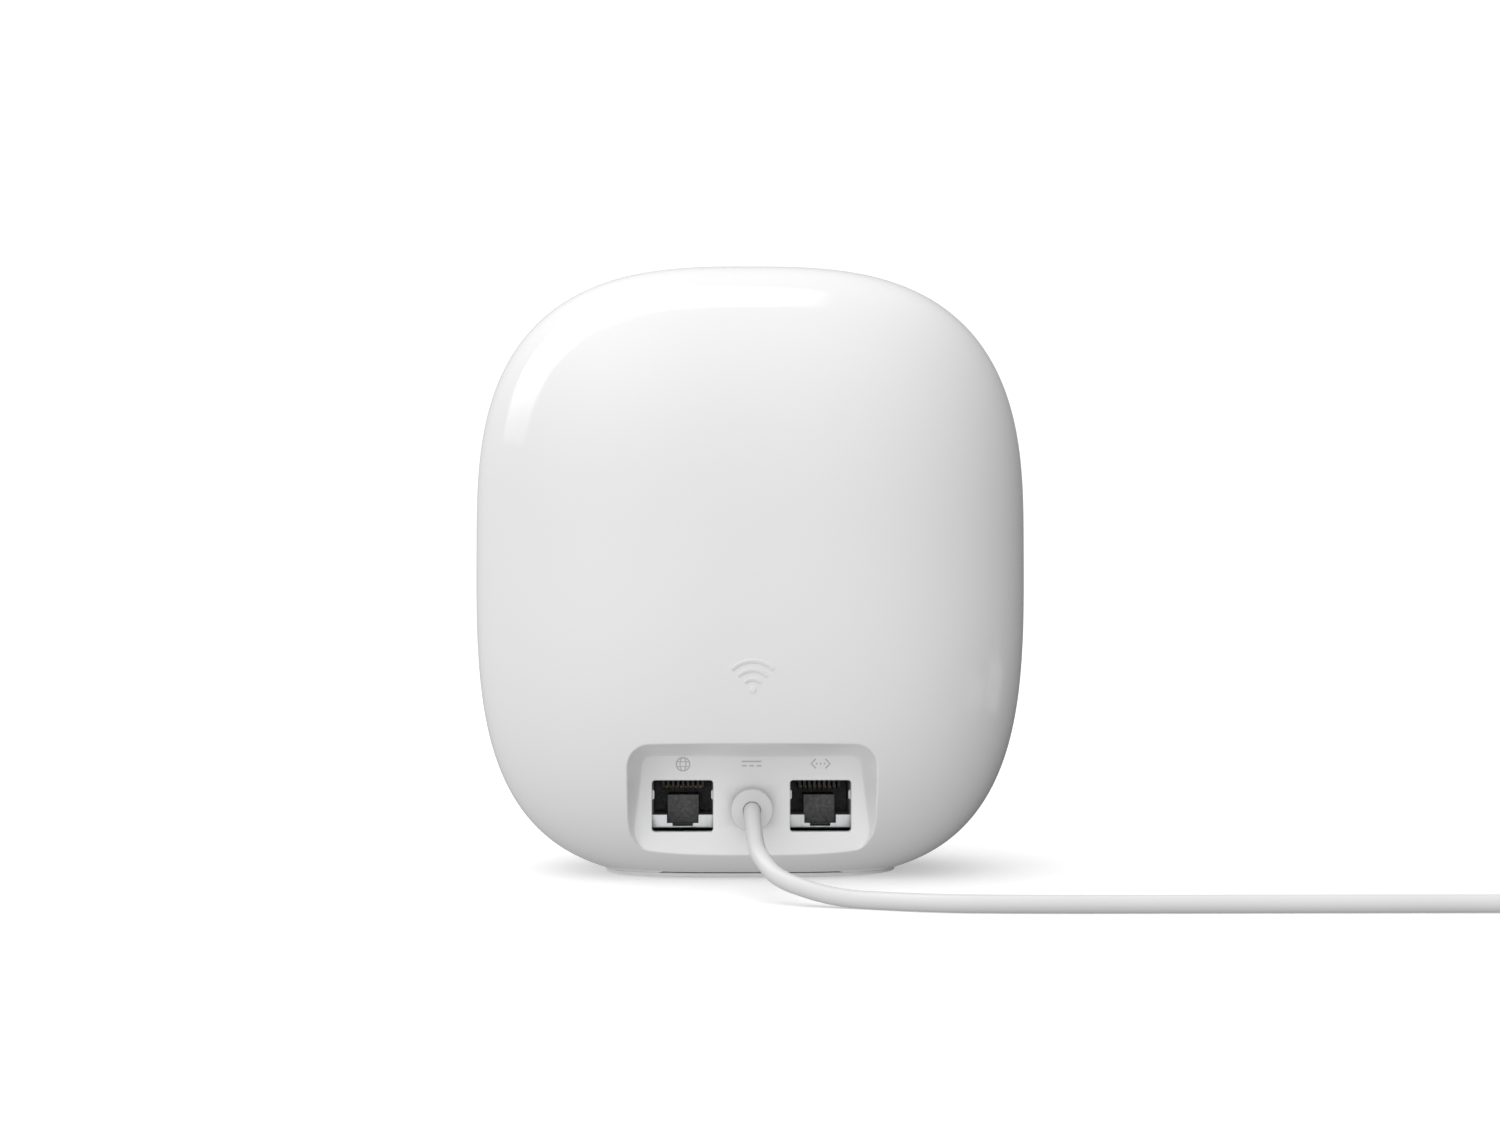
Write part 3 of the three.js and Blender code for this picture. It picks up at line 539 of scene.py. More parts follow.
def settle(points, field, rounds=6):
    """Moves points straight onto the surface where field is 0."""
    for _ in range(rounds):
        push = slope(field, points)
        far = field(points) / np.maximum((push * push).sum(1), 1e-6)
        points = points - push * np.clip(far, -0.8, 0.8)[:, None]
    return points


def meeting(start, end, inside, rounds=45):
    """The last points between start and end, one for each row, where inside is true."""
    near, far = np.zeros(len(start)), np.ones(len(start))
    for _ in range(rounds):
        middle = (near + far) / 2
        good = inside(start + (end - start) * middle[:, None])
        near, far = np.where(good, middle, near), np.where(good, far, middle)
    return start + (end - start) * near[:, None]


def swept(hub, axis, angles, inset=0.0):
    """Points on the case's surface straight out from hub, in the plane of X and one other axis."""
    out = np.zeros((len(angles), 3))
    out[:, 0], out[:, axis] = np.cos(angles), np.sin(angles)
    hubs = np.tile(np.array(hub, float), (len(angles), 1))
    return meeting(hubs, hubs + out * 2 * HALF_WIDTH, lambda p: case_level(p, inset) < 1)


def onto_case(points, inset):
    """Points moved along the ray from the case's centre until they are on its surface."""
    ray = points - CENTRE
    for _ in range(3):
        ray = ray / case_level(CENTRE + ray, inset)[:, None]
    return CENTRE + ray


def resampled(line, count):
    """count points spread evenly along a line, its ends among them."""
    along = np.concatenate([[0], np.cumsum(np.linalg.norm(np.diff(line, axis=0), axis=1))])
    at = np.linspace(0, along[-1], count)
    return np.stack([np.interp(at, along, part) for part in line.T], axis=1)


def surface_y(x, z):
    """The depth of the case's back surface at x and z."""
    power, reach = power_and_reach(z)
    across = np.abs(x / HALF_WIDTH) ** power + (np.abs(z - WIDEST_Z) / reach) ** power
    return HALF_DEPTH * np.maximum(0, 1 - across ** (DEPTH_POWER / power)) ** (1 / DEPTH_POWER)


# ---- Case shells ----

LOW_HALF = 24  # columns from the middle of a shell's bottom edge to its corner, on each side
HIGH_HALF = 104  # and from there up the seam to the top
FINE = 600  # points on a line before it is cut into columns


def shell_edge(side, inset, split, bottom):
    """A shell's outer edge, clockwise from its bottom's middle: along the cut there, then up the seam."""
    corner = swept((0, split, bottom), 1, np.zeros(1), inset)[0]
    turn = math.atan2(corner[2] - WIDEST_Z, corner[0])
    seam = swept((0, split, WIDEST_Z), 2, np.linspace(turn, math.pi / 2, FINE), inset)
    turn = math.atan2(corner[1], corner[0])
    under = swept((0, 0, bottom), 1, np.linspace(side * math.pi / 2, turn, FINE), inset)
    half = np.concatenate([resampled(under, LOW_HALF + 1)[:-1], resampled(seam, HIGH_HALF + 1)])
    other = half[1:-1][::-1] * [-1, 1, 1]
    return np.concatenate([half, other])


def between(first, last, shares, inset):
    """Loops on the case's surface at the given shares of the way from one closed line on it to another."""
    a, b = (v / np.linalg.norm(v, axis=1)[:, None] for v in (first - CENTRE, last - CENTRE))
    angle = np.arccos(np.clip((a * b).sum(1), -1, 1))[:, None]
    loops = []
    for share in shares.T:
        share = share[:, None]
        ray = (np.sin((1 - share) * angle) * a + np.sin(share * angle) * b) / np.sin(angle)
        loops.append(onto_case(CENTRE + ray * HALF_WIDTH, inset))
    return loops


def shares_out(first, last, near, count):
    """Shares of the way for loops that lie near apart at first, then evenly to the end."""
    length = np.linalg.norm(last - first, axis=1)[:, None]
    close = np.array(near)[None, :] / np.maximum(length, near[-1] * 2)
    even = np.linspace(0, 1, count + 1)[None, 1:]
    return np.concatenate([close, close[:, -1:] + (1 - close[:, -1:]) * even], axis=1)


def recess_line(grow, columns):
    """The recess floor's outline, clockwise from its bottom's middle, and at each point the way out."""
    half, low, high = RECESS_HALF_WIDTH + grow, RECESS_BOTTOM - grow, RECESS_TOP + grow
    radii = RECESS_BOTTOM_RADIUS + grow, RECESS_TOP_RADIUS + grow
    steps = 48
    fine = rectangle(-half, half, low, high, *radii, steps=steps, straight=1)
    fine = np.roll(fine, -(steps + 1), axis=0)[: 2 * steps + 2]
    half_line = np.concatenate([[(0, low)], fine, [(0, high)]])
    x, z = half_line.T
    z = z + (recess_low(x) - RECESS_BOTTOM) * (RECESS_TOP - z) / (RECESS_TOP - RECESS_BOTTOM)
    half_line = np.column_stack([x * floor_half_width(z) / RECESS_HALF_WIDTH, z])
    half_line = on_plane(half_line, FLOOR_Y - grow)
    half_line = resampled(half_line, columns // 2 + 1)
    line = np.concatenate([half_line, half_line[1:-1][::-1] * [-1, 1, 1]])
    ahead = np.roll(line, -1, axis=0) - np.roll(line, 1, axis=0)
    out = np.column_stack([ahead[:, 2], np.zeros(len(line)), -ahead[:, 0]])
    return line, out / np.linalg.norm(out, axis=1)[:, None]


FLOOR_STEPS = (1.7, 1.2, 0.9, 0.65, 0.45, 0.3, 0.15)
WALL_SHARES = (0, 0.02, 0.05, 0.09, 0.15, 0.25, 0.4, 0.55, 0.7, 0.82, 0.9, 0.94, 0.97, 1)
RIM_STEPS = (0.12, 0.25, 0.4, 0.6, 0.85, 1.2, 1.7, 2.4)
LIGHT_STEPS = (0.15, 0.4, 0.9, 1.8, 3)
REAR_LOOPS = 62  # from the recess's rim to the shell's edge
FRONT_LOOPS = 64  # from the light's hole to the shell's edge
LOW_WALL = 0.5  # where the recess's wall is lower, its foot moves inwards, so that loops stay apart
PAST_CASE = 30  # far enough out of the recess to be outside the case


def rear_skin(inset, edge):
    """The loops of the rear shell's outer or inner skin, from the recess's floor to the shell's edge."""
    line, out = recess_line(inset, len(edge))
    middle = np.tile([0, FLOOR_Y - inset, (RECESS_LOW_MIDDLE + RECESS_TOP) / 2], (len(line), 1))
    foot = meeting(middle, line, lambda p: case_level(p, inset) < 1)
    up = np.array([0, 1, 0]) + out * math.tan(RECESS_LEAN)
    rim = meeting(foot, foot + up * PAST_CASE, lambda p: case_level(p, inset) < 1)
    tall = (rim - foot)[:, 1]
    foot = foot - out * np.maximum(0, LOW_WALL - tall)[:, None]
    loops = [foot - out * step for step in FLOOR_STEPS]
    loops += [foot + (rim - foot) * share for share in WALL_SHARES]
    loops += between(rim, edge, shares_out(rim, edge, RIM_STEPS, REAR_LOOPS), inset)
    settled = settle(np.concatenate(loops[1:-1]), lambda p: shell_distance(p, inset))
    return [loops[0], *np.split(settled, len(loops) - 2), edge]


def light_line(inset, columns):
    """The light's hole on the case's front, clockwise from its bottom."""
    angles = full_turn(columns)
    x = (LIGHT_RADIUS + GAP) * np.sin(angles)
    z = LIGHT_Z - (LIGHT_RADIUS + GAP) * np.cos(angles)
    front = np.column_stack([x, -surface_y(x, z), z])
    return meeting(front * [1, 0.5, 1], front, lambda p: case_level(p, inset) < 1)


def front_skin(inset, edge):
    hole = light_line(inset, len(edge))
    return [hole, *between(hole, edge, shares_out(hole, edge, LIGHT_STEPS, FRONT_LOOPS), inset)[:-1], edge]


def port_loops(x):
    """The edge of one port window, with its rounded lip, from the recess's floor in through the wall."""
    lip = 0.28
    loops = []
    steps = [(lip + 0.25, 0), (lip, 0), (lip * 0.62, 0.02)]
    steps += [(lip * 0.3, lip * 0.3), (0.02, lip * 0.62), (0, lip)]
    for grow, deep in [*steps, (0, WALL - 0.01), (0.4, WALL - 0.01)]:
        left, right = x - PORT_HALF_WIDTH - grow, x + PORT_HALF_WIDTH + grow
        outline = rectangle(left, right, PORT_LOW - grow, PORT_HIGH + grow, PORT_RADIUS + grow, steps=6)
        loops.append(on_plane(outline, FLOOR_Y - deep))
    return loops


SKIN_SLACK = 0.06  # how far a face's centre may be from the surface that it stands for
FINISH_AND_PAINTED_LIGHT_DEPTH = 0.35  # how far the satin finish and its painted light go below the floor, over the port windows' lips


def finish_recess_with_painted_light(shell):
    """Gives the recess's floor and sides their satin finish, in a lighter white that is painted light against
    the shade in the recess.
    """
    mesh = shell.data
    mesh.materials.append(MATERIALS["recess_white"])
    centres = np.empty(len(mesh.polygons) * 3)
    mesh.polygons.foreach_get("center", centres)
    centres = centres.reshape(-1, 3) / MM
    inside = (recess_distance(centres, 0) < SKIN_SLACK) & (centres[:, 1] > FLOOR_Y - FINISH_AND_PAINTED_LIGHT_DEPTH)
    mesh.polygons.foreach_set("material_index", inside.astype(np.int32))


def make_shells():
    for name, side in (("rear_shell", 1), ("front_shell", -1)):
        seam = SPLIT_Y + side * GAP / 2
        low = SHELL_BOTTOM
        outer_edge = shell_edge(side, 0, seam + side * EDGE, low + EDGE)
        cut_edge = shell_edge(side, EDGE, seam, low)
        inner_edge = shell_edge(side, WALL, seam, low)
        skin = rear_skin if side > 0 else front_skin
        outer, inner = skin(0, outer_edge), skin(WALL, inner_edge)
        made = Parts()
        made.sleeves([*outer, cut_edge, *reversed(inner)])
        if side > 0:
            holes = [port_loops(x) for x in (-PORT_X, PORT_X)]
            radius = PLUG_HOLE_RADIUS
            profile = [(radius + 0.3, FLOOR_Y), (radius, FLOOR_Y - 0.3), (radius, FLOOR_Y - WALL)]
            holes.append(turned(profile, (0, 0, PLUG_Z), "Y"))
            for hole in holes:
                hole[-1][:, 1] = FLOOR_Y - WALL
            made.sleeves(*holes)
            made.plate(outer[0], [hole[0] for hole in holes])
            made.plate(inner[0], [hole[-1] for hole in holes])
        else:
            made.sleeves([outer[0], inner[0]])
        shell = made.piece(name, smooth=60)
        if side > 0:
            finish_recess_with_painted_light(shell)


make_shells()

# ---- Base, foot pad, reset button and light ----

BUTTON_Y = sum(corner[1] for corner in box_mm("reset_button")) / 2


def foot_ring(inset, z):
    """The shells' outline at their cut bottom, moved in by inset along its radius and placed at height z."""
    ring = swept((0, 0, SHELL_BOTTOM), 1, full_turn(160))[:, :2]
    return flat(ring * (1 - inset / np.linalg.norm(ring, axis=1))[:, None], z)


def make_base():
    low, high = (corner[2] for corner in box_mm("base_cover"))
    pad_high = box_mm("foot_pad")[1]
    flange = SHELL_BOTTOM - GAP / 2
    skin = rounded([(3.6, high), (3.6, flange), (0.5, flange), (0.5, low), (1.4, low)], 0.22)
    skin = [foot_ring(inset, z) for inset, z in skin]
    half_x, half_y = pad_high[0], pad_high[1]
    radius = half_y - 2

    def pad_ring(grow, z):
        wide, deep = half_x + grow, half_y + grow
        return flat(rectangle(-wide, wide, -deep, deep, radius + grow, steps=12), z)

    def bore(size, levels):
        return turned([(size, z) for z in levels], (0, BUTTON_Y, 0), "Z", 32)

    ceiling = pad_high[2] + GAP
    pocket = [pad_ring(GAP, low), pad_ring(GAP, ceiling)]
    hole = bore(2.7, (ceiling, high))
    made = Parts()
    made.sleeves(skin, pocket, hole)
    made.plate(skin[-1], [pocket[0]])
    made.plate(pocket[1], [hole[0]])
    made.plate(skin[0], [hole[1]])
    made.piece("base_cover")

    profile = rounded([(2, 0), (0, 0), (0, pad_high[2]), (2, pad_high[2])], 0.25)
    side = [pad_ring(-inset, z) for inset, z in profile]
    hole = bore(3.4, (0, pad_high[2]))
    made = Parts()
    made.sleeves(side, hole)
    made.plate(side[0], [hole[0]])
    made.plate(side[-1], [hole[1]])
    made.piece("foot_pad")


def make_button():
    low, high = (corner[2] for corner in box_mm("reset_button"))
    flange = high - 4.8
    profile = [(0, low + 0.25), (1.5, low + 0.2), (2.4, low), (2.4, flange - 0.9), (3.6, flange - 0.9)]
    profile += [(3.6, flange), (1.4, flange), (1.4, high), (0, high)]
    loops = turned(rounded(profile, 0.3), (0, BUTTON_Y, 0), "Z", 40)
    piece("reset_button", *lofted(loops, capped=False))


def make_light():
    high = box_mm("light_guide")[1]
    angles = full_turn(36)
    loops = []
    for radius, sunk in ((0, -0.02), (0.5, -0.02), (1, 0), (1.3, 0.03), (1.45, 0.12), (LIGHT_RADIUS, 0.3)):
        x, z = radius * np.cos(angles), LIGHT_Z + radius * np.sin(angles)
        loops.append(np.column_stack([x, sunk - surface_y(x, z), z]))
    shoulder = high[1] - 2
    profile = [(LIGHT_RADIUS, shoulder), (high[0], shoulder), (high[0], high[1]), (0, high[1])]
    loops += turned(profile, (0, 0, LIGHT_Z), "Y", 36)
    piece("light_guide", *lofted(loops, capped=False))


make_base()
make_button()
make_light()

# ---- Network jacks ----

SHEET = 0.35  # how thick the shield is
NOTCH = ((3.25, 11.9), (2.1, 11.3))  # half-widths and lower edges of the latch slot's two steps
MOUTH_LOW = 13.6
MOUTH_HIGH = 20.9
SPRING = (16.7, 18.7)  # where the shield's side springs stand in the mouth
MOUTH_HALF_WIDTH = 6.24
WELL_HALF_WIDTH = 6
CONTACTS = 8
PITCH = 1.02
TOOTH_HALF_WIDTH = 0.24  # of the comb between the contacts
CONTACT_HALF_WIDTH = 0.16
CONTACT_HALF_THICK = 0.12


def softened(outline, radius, steps=3):
    """A closed line of 2D points with its corners rounded."""
    points = [np.asarray(p, float) for p in outline]
    middle = (points[-1] + points[0]) / 2
    return np.array(rounded([middle, *points, middle], radius, steps)[:-1])


def mirrored(half, x, radius):
    """A closed line, its corners rounded, from its first half, whose mirror image stands on X = x."""
    other = [(-a, z) for a, z in reversed(half)]
    return softened([(x + a, z) for a, z in half + other], radius)


def mouth(x):
    """The plug's way in with its stepped slot, and the two springs at its sides."""
    (wide, step), (narrow, low) = NOTCH
    side, spring = MOUTH_HALF_WIDTH, MOUTH_HALF_WIDTH - 0.4
    half = [(narrow, low), (narrow, step), (wide, step), (wide, MOUTH_LOW), (side, MOUTH_LOW)]
    half += [(side, SPRING[0]), (spring, SPRING[0] + 0.2), (spring, SPRING[1] - 0.2), (side, SPRING[1])]
    return mirrored([*half, (side, MOUTH_HIGH)], x, 0.12)


def make_shield(label, x):
    low, high = box_mm(f"{label}_jack_shield")
    opening = mouth(x)
    made = Parts()

    def can(inset, y):
        sides = low[0] + inset, high[0] - inset, low[2] + inset, high[2] - inset
        return on_plane(rectangle(*sides, 0.6 - inset), y)

    front, back = high[1], low[1]
    skin = [can(0, back), can(0, front - 0.2), can(0.06, front - 0.06), can(0.2, front)]
    lining = [can(SHEET, front - SHEET), can(SHEET, back)]
    lip = [on_plane(opening, front), on_plane(opening, front - SHEET)]
    made.sleeves(skin, lining, lip, [skin[0], lining[-1]])
    made.plate(skin[-1], [lip[0]])
    made.plate(lining[0], [lip[1]])
    made.piece(f"{label}_jack_shield", smooth=30)


def make_housing(label, x):
    """The moulding: a well, the block behind the latch, and the comb that keeps the contacts apart."""
    low, high = box_mm(f"{label}_jack_housing")
    front, back = high[1], low[1]
    well_back = back + 1.2
    outer = rectangle(low[0], high[0], low[2], high[2], 0.5)
    made = Parts()
    skin = [on_plane(outer, back), on_plane(outer, front)]
    wide, side, slot_low = NOTCH[0][0], WELL_HALF_WIDTH, low[2] + 0.05
    # The well joined with the latch slot below it, as one opening in the front face.
    half = [(-side, MOUTH_HIGH), (-side, MOUTH_LOW), (-wide, MOUTH_LOW), (-wide, slot_low)]
    opening = mirrored(half, x, 0.2)
    well = [on_plane(opening, front), on_plane(opening, well_back)]
    made.sleeves(skin, well)
    made.plate(skin[1], [well[0]])
    made.plate(skin[0], [])
    made.plate(well[1], [])
    made.piece(f"{label}_jack_housing", smooth=30)

    block = Parts()
    left, right, top = x - 3.2, x + 3.2, 17.3
    outline = softened([(left, slot_low), (right, slot_low), (right, top), (left, top)], 0.15)
    block.loft([on_plane(outline, y) for y in (well_back, front - 4.5)])
    block.piece(f"{label}_jack_block", slot="jack_black", smooth=30)
    comb = Parts()
    tooth = [(well_back, 18.3), (front - 4.2, 18.3), (front - 3.2, 19), (front - 2.6, MOUTH_HIGH)]
    tooth += [(well_back, MOUTH_HIGH)]
    for i in range(CONTACTS + 1):
        middle = x + (i - CONTACTS / 2) * PITCH
        edges = middle - TOOTH_HALF_WIDTH, middle + TOOTH_HALF_WIDTH
        comb.loft([np.array([(edge, y, z) for y, z in tooth]) for edge in edges])
    comb.piece(f"{label}_jack_comb", material="comb_black", slot="jack_black", smooth=30)


def make_contacts(label, x):
    low, high = box_mm(f"{label}_jack_contacts")
    made = Parts()
    line = [(high[1] - 3.6, 20.5), (high[1] - 4.4, 20.3), (low[1] + 1.4, 18.75), (low[1] + 0.4, 18.6)]
    line = rounded(line, 0.8, 4)
    wide, thick = CONTACT_HALF_WIDTH, CONTACT_HALF_THICK
    corners = [(-wide, -thick), (wide, -thick), (wide, thick), (-wide, thick)]
    for i in range(CONTACTS):
        middle = x + (i - (CONTACTS - 1) / 2) * PITCH
        made.loft([[(middle + across, y, z + up) for across, up in corners] for y, z in line])
    made.box((low[0], low[1], 18.4), (high[0], low[1] + 0.9, 19.1))
    made.piece(f"{label}_jack_contacts", smooth=40)


for label, x in (("wan", PORT_X), ("lan", -PORT_X)):
    make_shield(label, x)
    make_housing(label, x)
    make_contacts(label, x)

# ---- Power plug ----


def make_plug():
    back = box_mm("power_plug")[0][1]
    hole = CORD_RADIUS + 0.05
    profile = [(0, back), (PLUG_RADIUS - 0.5, back), (PLUG_RADIUS, back + 0.3), (PLUG_RADIUS, PLUG_FACE)]
    profile += [(hole, PLUG_FACE), (hole, PLUG_FACE - 0.8), (0, PLUG_FACE - 0.8)]
    loops = turned(rounded(profile, 0.32, 6), (0, 0, PLUG_Z), "Y", 72)
    return piece("power_plug", *lofted(loops, capped=False), smooth=50)


plug = make_plug()

# ---- Power cord ----

CORD_Y = 70.7
COIL_X = -183.0
COIL_STEP = 3.5
COIL_RADIUS = 25.0
COIL_LAYERS = 4
COIL_TURNS = 3  # in each layer
COIL_CLIMB = 0.25  # of a turn, from one layer to the next
COIL_LOW = 0.9
COIL_Y = CORD_Y - COIL_RADIUS
ADAPTER_LOW = np.minimum(box_mm("adapter_front_case")[0], box_mm("adapter_back_case")[0])
ADAPTER_HIGH = np.maximum(box_mm("adapter_front_case")[1], box_mm("adapter_back_case")[1])
ADAPTER_X = (ADAPTER_LOW[0] + ADAPTER_HIGH[0]) / 2
RELIEF_LOW, RELIEF_HIGH = box_mm("adapter_strain_relief")
RELIEF_Z = (RELIEF_LOW[2] + RELIEF_HIGH[2]) / 2

# The CAD's route, from inside the plug to the coil.
CORD_ROUTE = [
    (0, 28.4, 15.1),
    (0, 31.5, 15),
    (0, 35, 14.2),
    (-0.1, 38.5, 13.1),
    (-0.2, 42, 12),
    (-0.4, 46.2, 10.6),
    (-0.8, 50, 9.2),
    (-1.6, 52.8, 8),
    (-2.7, 55.2, 6.7),
    (-4.2, 57.3, 5.4),
    (-6.4, 59.1, 4.3),
    (-9, 60.5, 3.5),
    (-12, 61.7, 2.7),
    (-15.2, 62.7, 2.1),
    (-19, 63.9, 1.75),
    (-23.5, 65.6, 1.7),
    (-29, 67.7, 1.7),
    (-37, 69.6, 1.7),
    (-48, 70.4, 1.7),
    (-64, 70.7, 1.7),
    (-90, 70.7, 1.7),
    (-115, 70.7, 1.7),
    (-140, 70.7, 1.7),
    (-156, 70.7, 1.9),
    (-169, 70.7, 2.6),
]


def coil_turns(points_per_turn=24):
    """The coil, layer on layer: each spirals in or out, after a climb from the one below it."""
    inner = COIL_RADIUS - COIL_TURNS * COIL_STEP
    points = []

    def lay(turns, radius, layer):
        angle = math.pi / 2 + 2 * math.pi * turns
        level = COIL_LOW + CORD_RADIUS + layer * COIL_STEP
        points.append((COIL_X + radius * math.cos(angle), COIL_Y + radius * math.sin(angle), level))

    for layer in range(COIL_LAYERS):
        start, end = (COIL_RADIUS, inner) if layer % 2 == 0 else (inner, COIL_RADIUS)
        climbing = COIL_CLIMB if layer > 0 else 0
        for i in range(COIL_TURNS * points_per_turn):
            turns = i / points_per_turn
            climb = min(1, turns / climbing) if climbing else 1
            share = max(0, turns - climbing) / (COIL_TURNS - climbing)
            lay(turns, start + (end - start) * share, layer - 1 + climb * climb * (3 - 2 * climb))
    for i in range(points_per_turn // 4 + 1):
        lay(i / points_per_turn, COIL_RADIUS, COIL_LAYERS - 1)
    return points


def smooth_line(points, steps=4):
    """A Catmull-Rom curve through points."""
    p = np.array([points[0], *points, points[-1]], float)
    line = []
    for a, b, c, d in zip(p, p[1:], p[2:], p[3:]):
        for t in np.arange(steps) / steps:
            line.append(0.5 * (2 * b + (c - a) * t + (2 * a - 5 * b + 4 * c - d) * t * t
                               + (3 * b - a - 3 * c + d) * t ** 3))
    return [*line, p[-1]]


def make_cord():
    tail = [(ADAPTER_X, COIL_Y - 14, 13.1), (ADAPTER_X, RELIEF_HIGH[1] + 3, 13.5)]
    tail += [(ADAPTER_X, RELIEF_HIGH[1], RELIEF_Z), (ADAPTER_X, RELIEF_HIGH[1] - 8, RELIEF_Z)]
    tail += [(ADAPTER_X, RELIEF_LOW[1] + 2, RELIEF_Z)]
    line = smooth_line([*CORD_ROUTE, *coil_turns(), *tail])
    curve = bpy.data.curves.new("power_cord", "CURVE")
    curve.dimensions = "3D"
    spline = curve.splines.new("POLY")
    spline.points.add(len(line) - 1)
    spline.points.foreach_set("co", np.column_stack([np.array(line) * MM, np.ones(len(line))]).ravel())
    curve.bevel_depth = CORD_RADIUS * MM
    curve.bevel_resolution = 6
    curve.use_fill_caps = True
    curve.materials.append(MATERIALS["cord_white"])
    spline.use_smooth = True
    made = linked("power_cord", curve)
    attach(made, "power_lead")
    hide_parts("power_cord", "power_cord_coil", "power_cord_end")
    return made


cord = make_cord()


def normals(path, closed):
    """Unit vectors square to a line of 2D points, to the left of the way it runs."""
    path = np.asarray(path, float)
    before, after = np.roll(path, 1, axis=0), np.roll(path, -1, axis=0)
    if not closed:
        before[0], after[-1] = path[0], path[-1]
    ahead = after - before
    left = np.column_stack([-ahead[:, 1], ahead[:, 0]])
    return left / np.linalg.norm(left, axis=1)[:, None]


def make_tie(number, degrees):
    """A woven strap round the coil's turns, with its free end laid over the top."""
    inner = COIL_RADIUS - COIL_TURNS * COIL_STEP - CORD_RADIUS - 0.8
    outer = COIL_RADIUS + CORD_RADIUS + 0.4
    high = COIL_LOW + 2 * CORD_RADIUS + (COIL_LAYERS - 1) * COIL_STEP + 0.4
    low = COIL_LOW - 0.3
    direction = math.radians(degrees)
    out = np.array([math.cos(direction), math.sin(direction), 0])
    side = np.array([-math.sin(direction), math.cos(direction), 0])
    hub = np.array([COIL_X, COIL_Y, 0])

    made = Parts()

    def strap(path, thickness, half_width, closed):
        section = [(0, -half_width), (thickness, -half_width), (thickness, half_width), (0, half_width)]
        section = rounded(section, 0.2, 3)
        loops = []
        for (r, z), (nr, nz) in zip(path, -normals(path, closed)):
            loops.append([hub + out * (r + nr * t) + side * s + [0, 0, z + nz * t] for t, s in section])
        made.loft([*loops, loops[0]] if closed else loops, capped=not closed)

    strap(rectangle(inner, outer, low, high, 1.2, steps=6, straight=2), 0.55, 2.4, True)
    free = [(outer - 1, high + 0.6), (outer - 6, high + 0.62), (inner + 3, high + 0.7)]
    strap(resampled(np.array(free), 8), 0.45, 2.2, False)
    return made.piece(f"cable_tie_{number}")


ties = [make_tie(number, degrees) for number, degrees in ((1, 45), (2, 225))]

# ---- Wall adapter ----

ADAPTER_WALL = 2


def make_adapter_cases():
    split = (ADAPTER_LOW[2] + ADAPTER_HIGH[2]) / 2
    (left, near), (right, far) = ADAPTER_LOW[:2], ADAPTER_HIGH[:2]
    made = []
    for name, shut, rim in (
        ("adapter_front_case", ADAPTER_LOW[2], split - GAP / 2),
        ("adapter_back_case", ADAPTER_HIGH[2], split + GAP / 2),
    ):
        wall = ADAPTER_WALL
        up = 1 if rim > shut else -1
        profile = rounded([(12, shut), (0, shut), (0, rim)], 3.5, 10)[:-1]
        profile += [(0, rim - up * 0.3), (0.25, rim), (wall, rim)]
        profile += [(wall, shut + up * wall), (12, shut + up * wall)]
        loops = []
        for inset, z in profile:
            sides = left + inset, right - inset, near + inset, far - inset
            loops.append(flat(rectangle(*sides, max(0.5, 8 - inset), steps=10, straight=2), z))
        made.append(piece(name, *lofted(loops)))
    return made


def make_blade(number):
    low, high = box_mm(f"adapter_blade_{number}")
    shoulder = ADAPTER_HIGH[2]
    x = (low[0] + high[0]) / 2
    thick = 0.75
    tip = 1.6
    half = (high[1] - low[1]) / 2
    y = (high[1] + low[1]) / 2
    outline = [(y - half, shoulder - 5), (y + half, shoulder - 5), (y + half, high[2] - tip)]
    outline += [(y + half - tip, high[2]), (y - half + tip, high[2]), (y - half, high[2] - tip)]
    outline = softened(outline, 0.8, 5)
    angles = full_turn(24)
    hole = np.column_stack([y + 1.6 * np.cos(angles), high[2] - 4 + 1.6 * np.sin(angles)])
    centre = outline.mean(0)
    made = Parts()

    def ring(points, grow, side):
        out = points + (points - centre) * grow
        return np.column_stack([np.full(len(out), x + side), out])

    skin = [ring(outline, -0.04, -thick), ring(outline, 0, 0.25 - thick), ring(outline, 0, thick - 0.25)]
    skin.append(ring(outline, -0.04, thick))
    bore = [ring(hole, 0, -thick), ring(hole, 0, thick)]
    made.sleeves(skin, bore)
    made.plate(skin[0], [bore[0]])
    made.plate(skin[-1], [bore[1]])
    return made.piece(f"adapter_blade_{number}", smooth=30)


def make_strain_relief():
    """Tapered, with ribs that let it bend."""
    start, end = RELIEF_LOW[1], RELIEF_HIGH[1]
    shoulder = ADAPTER_HIGH[1]
    bore = CORD_RADIUS + 0.05
    thick, taper, groove = 2.95, 0.55, 0.35
    profile = [(bore, start), (4.2, start), (4.2, start + 2.4), (thick, start + 2.4), (thick, shoulder + 1.2)]
    ribs = 6
    pitch = (end - shoulder - 2.4) / ribs
    for i in range(ribs):
        at = shoulder + 1.2 + i * pitch
        radius = thick - taper * (i + 1) / ribs
        deep = radius - groove
        profile += [(deep, at + 0.1), (deep, at + 0.45), (radius, at + 0.6), (radius, at + pitch)]
    profile += [(2.3, end), (bore, end), (bore, start)]
    loops = turned(rounded(profile, 0.25, 3), (ADAPTER_X, 0, RELIEF_Z), "Y", 40)
    return piece("adapter_strain_relief", *lofted(loops, capped=False))


adapter = [*make_adapter_cases(), make_blade(1), make_blade(2), make_strain_relief()]

# ---- Symbols ----


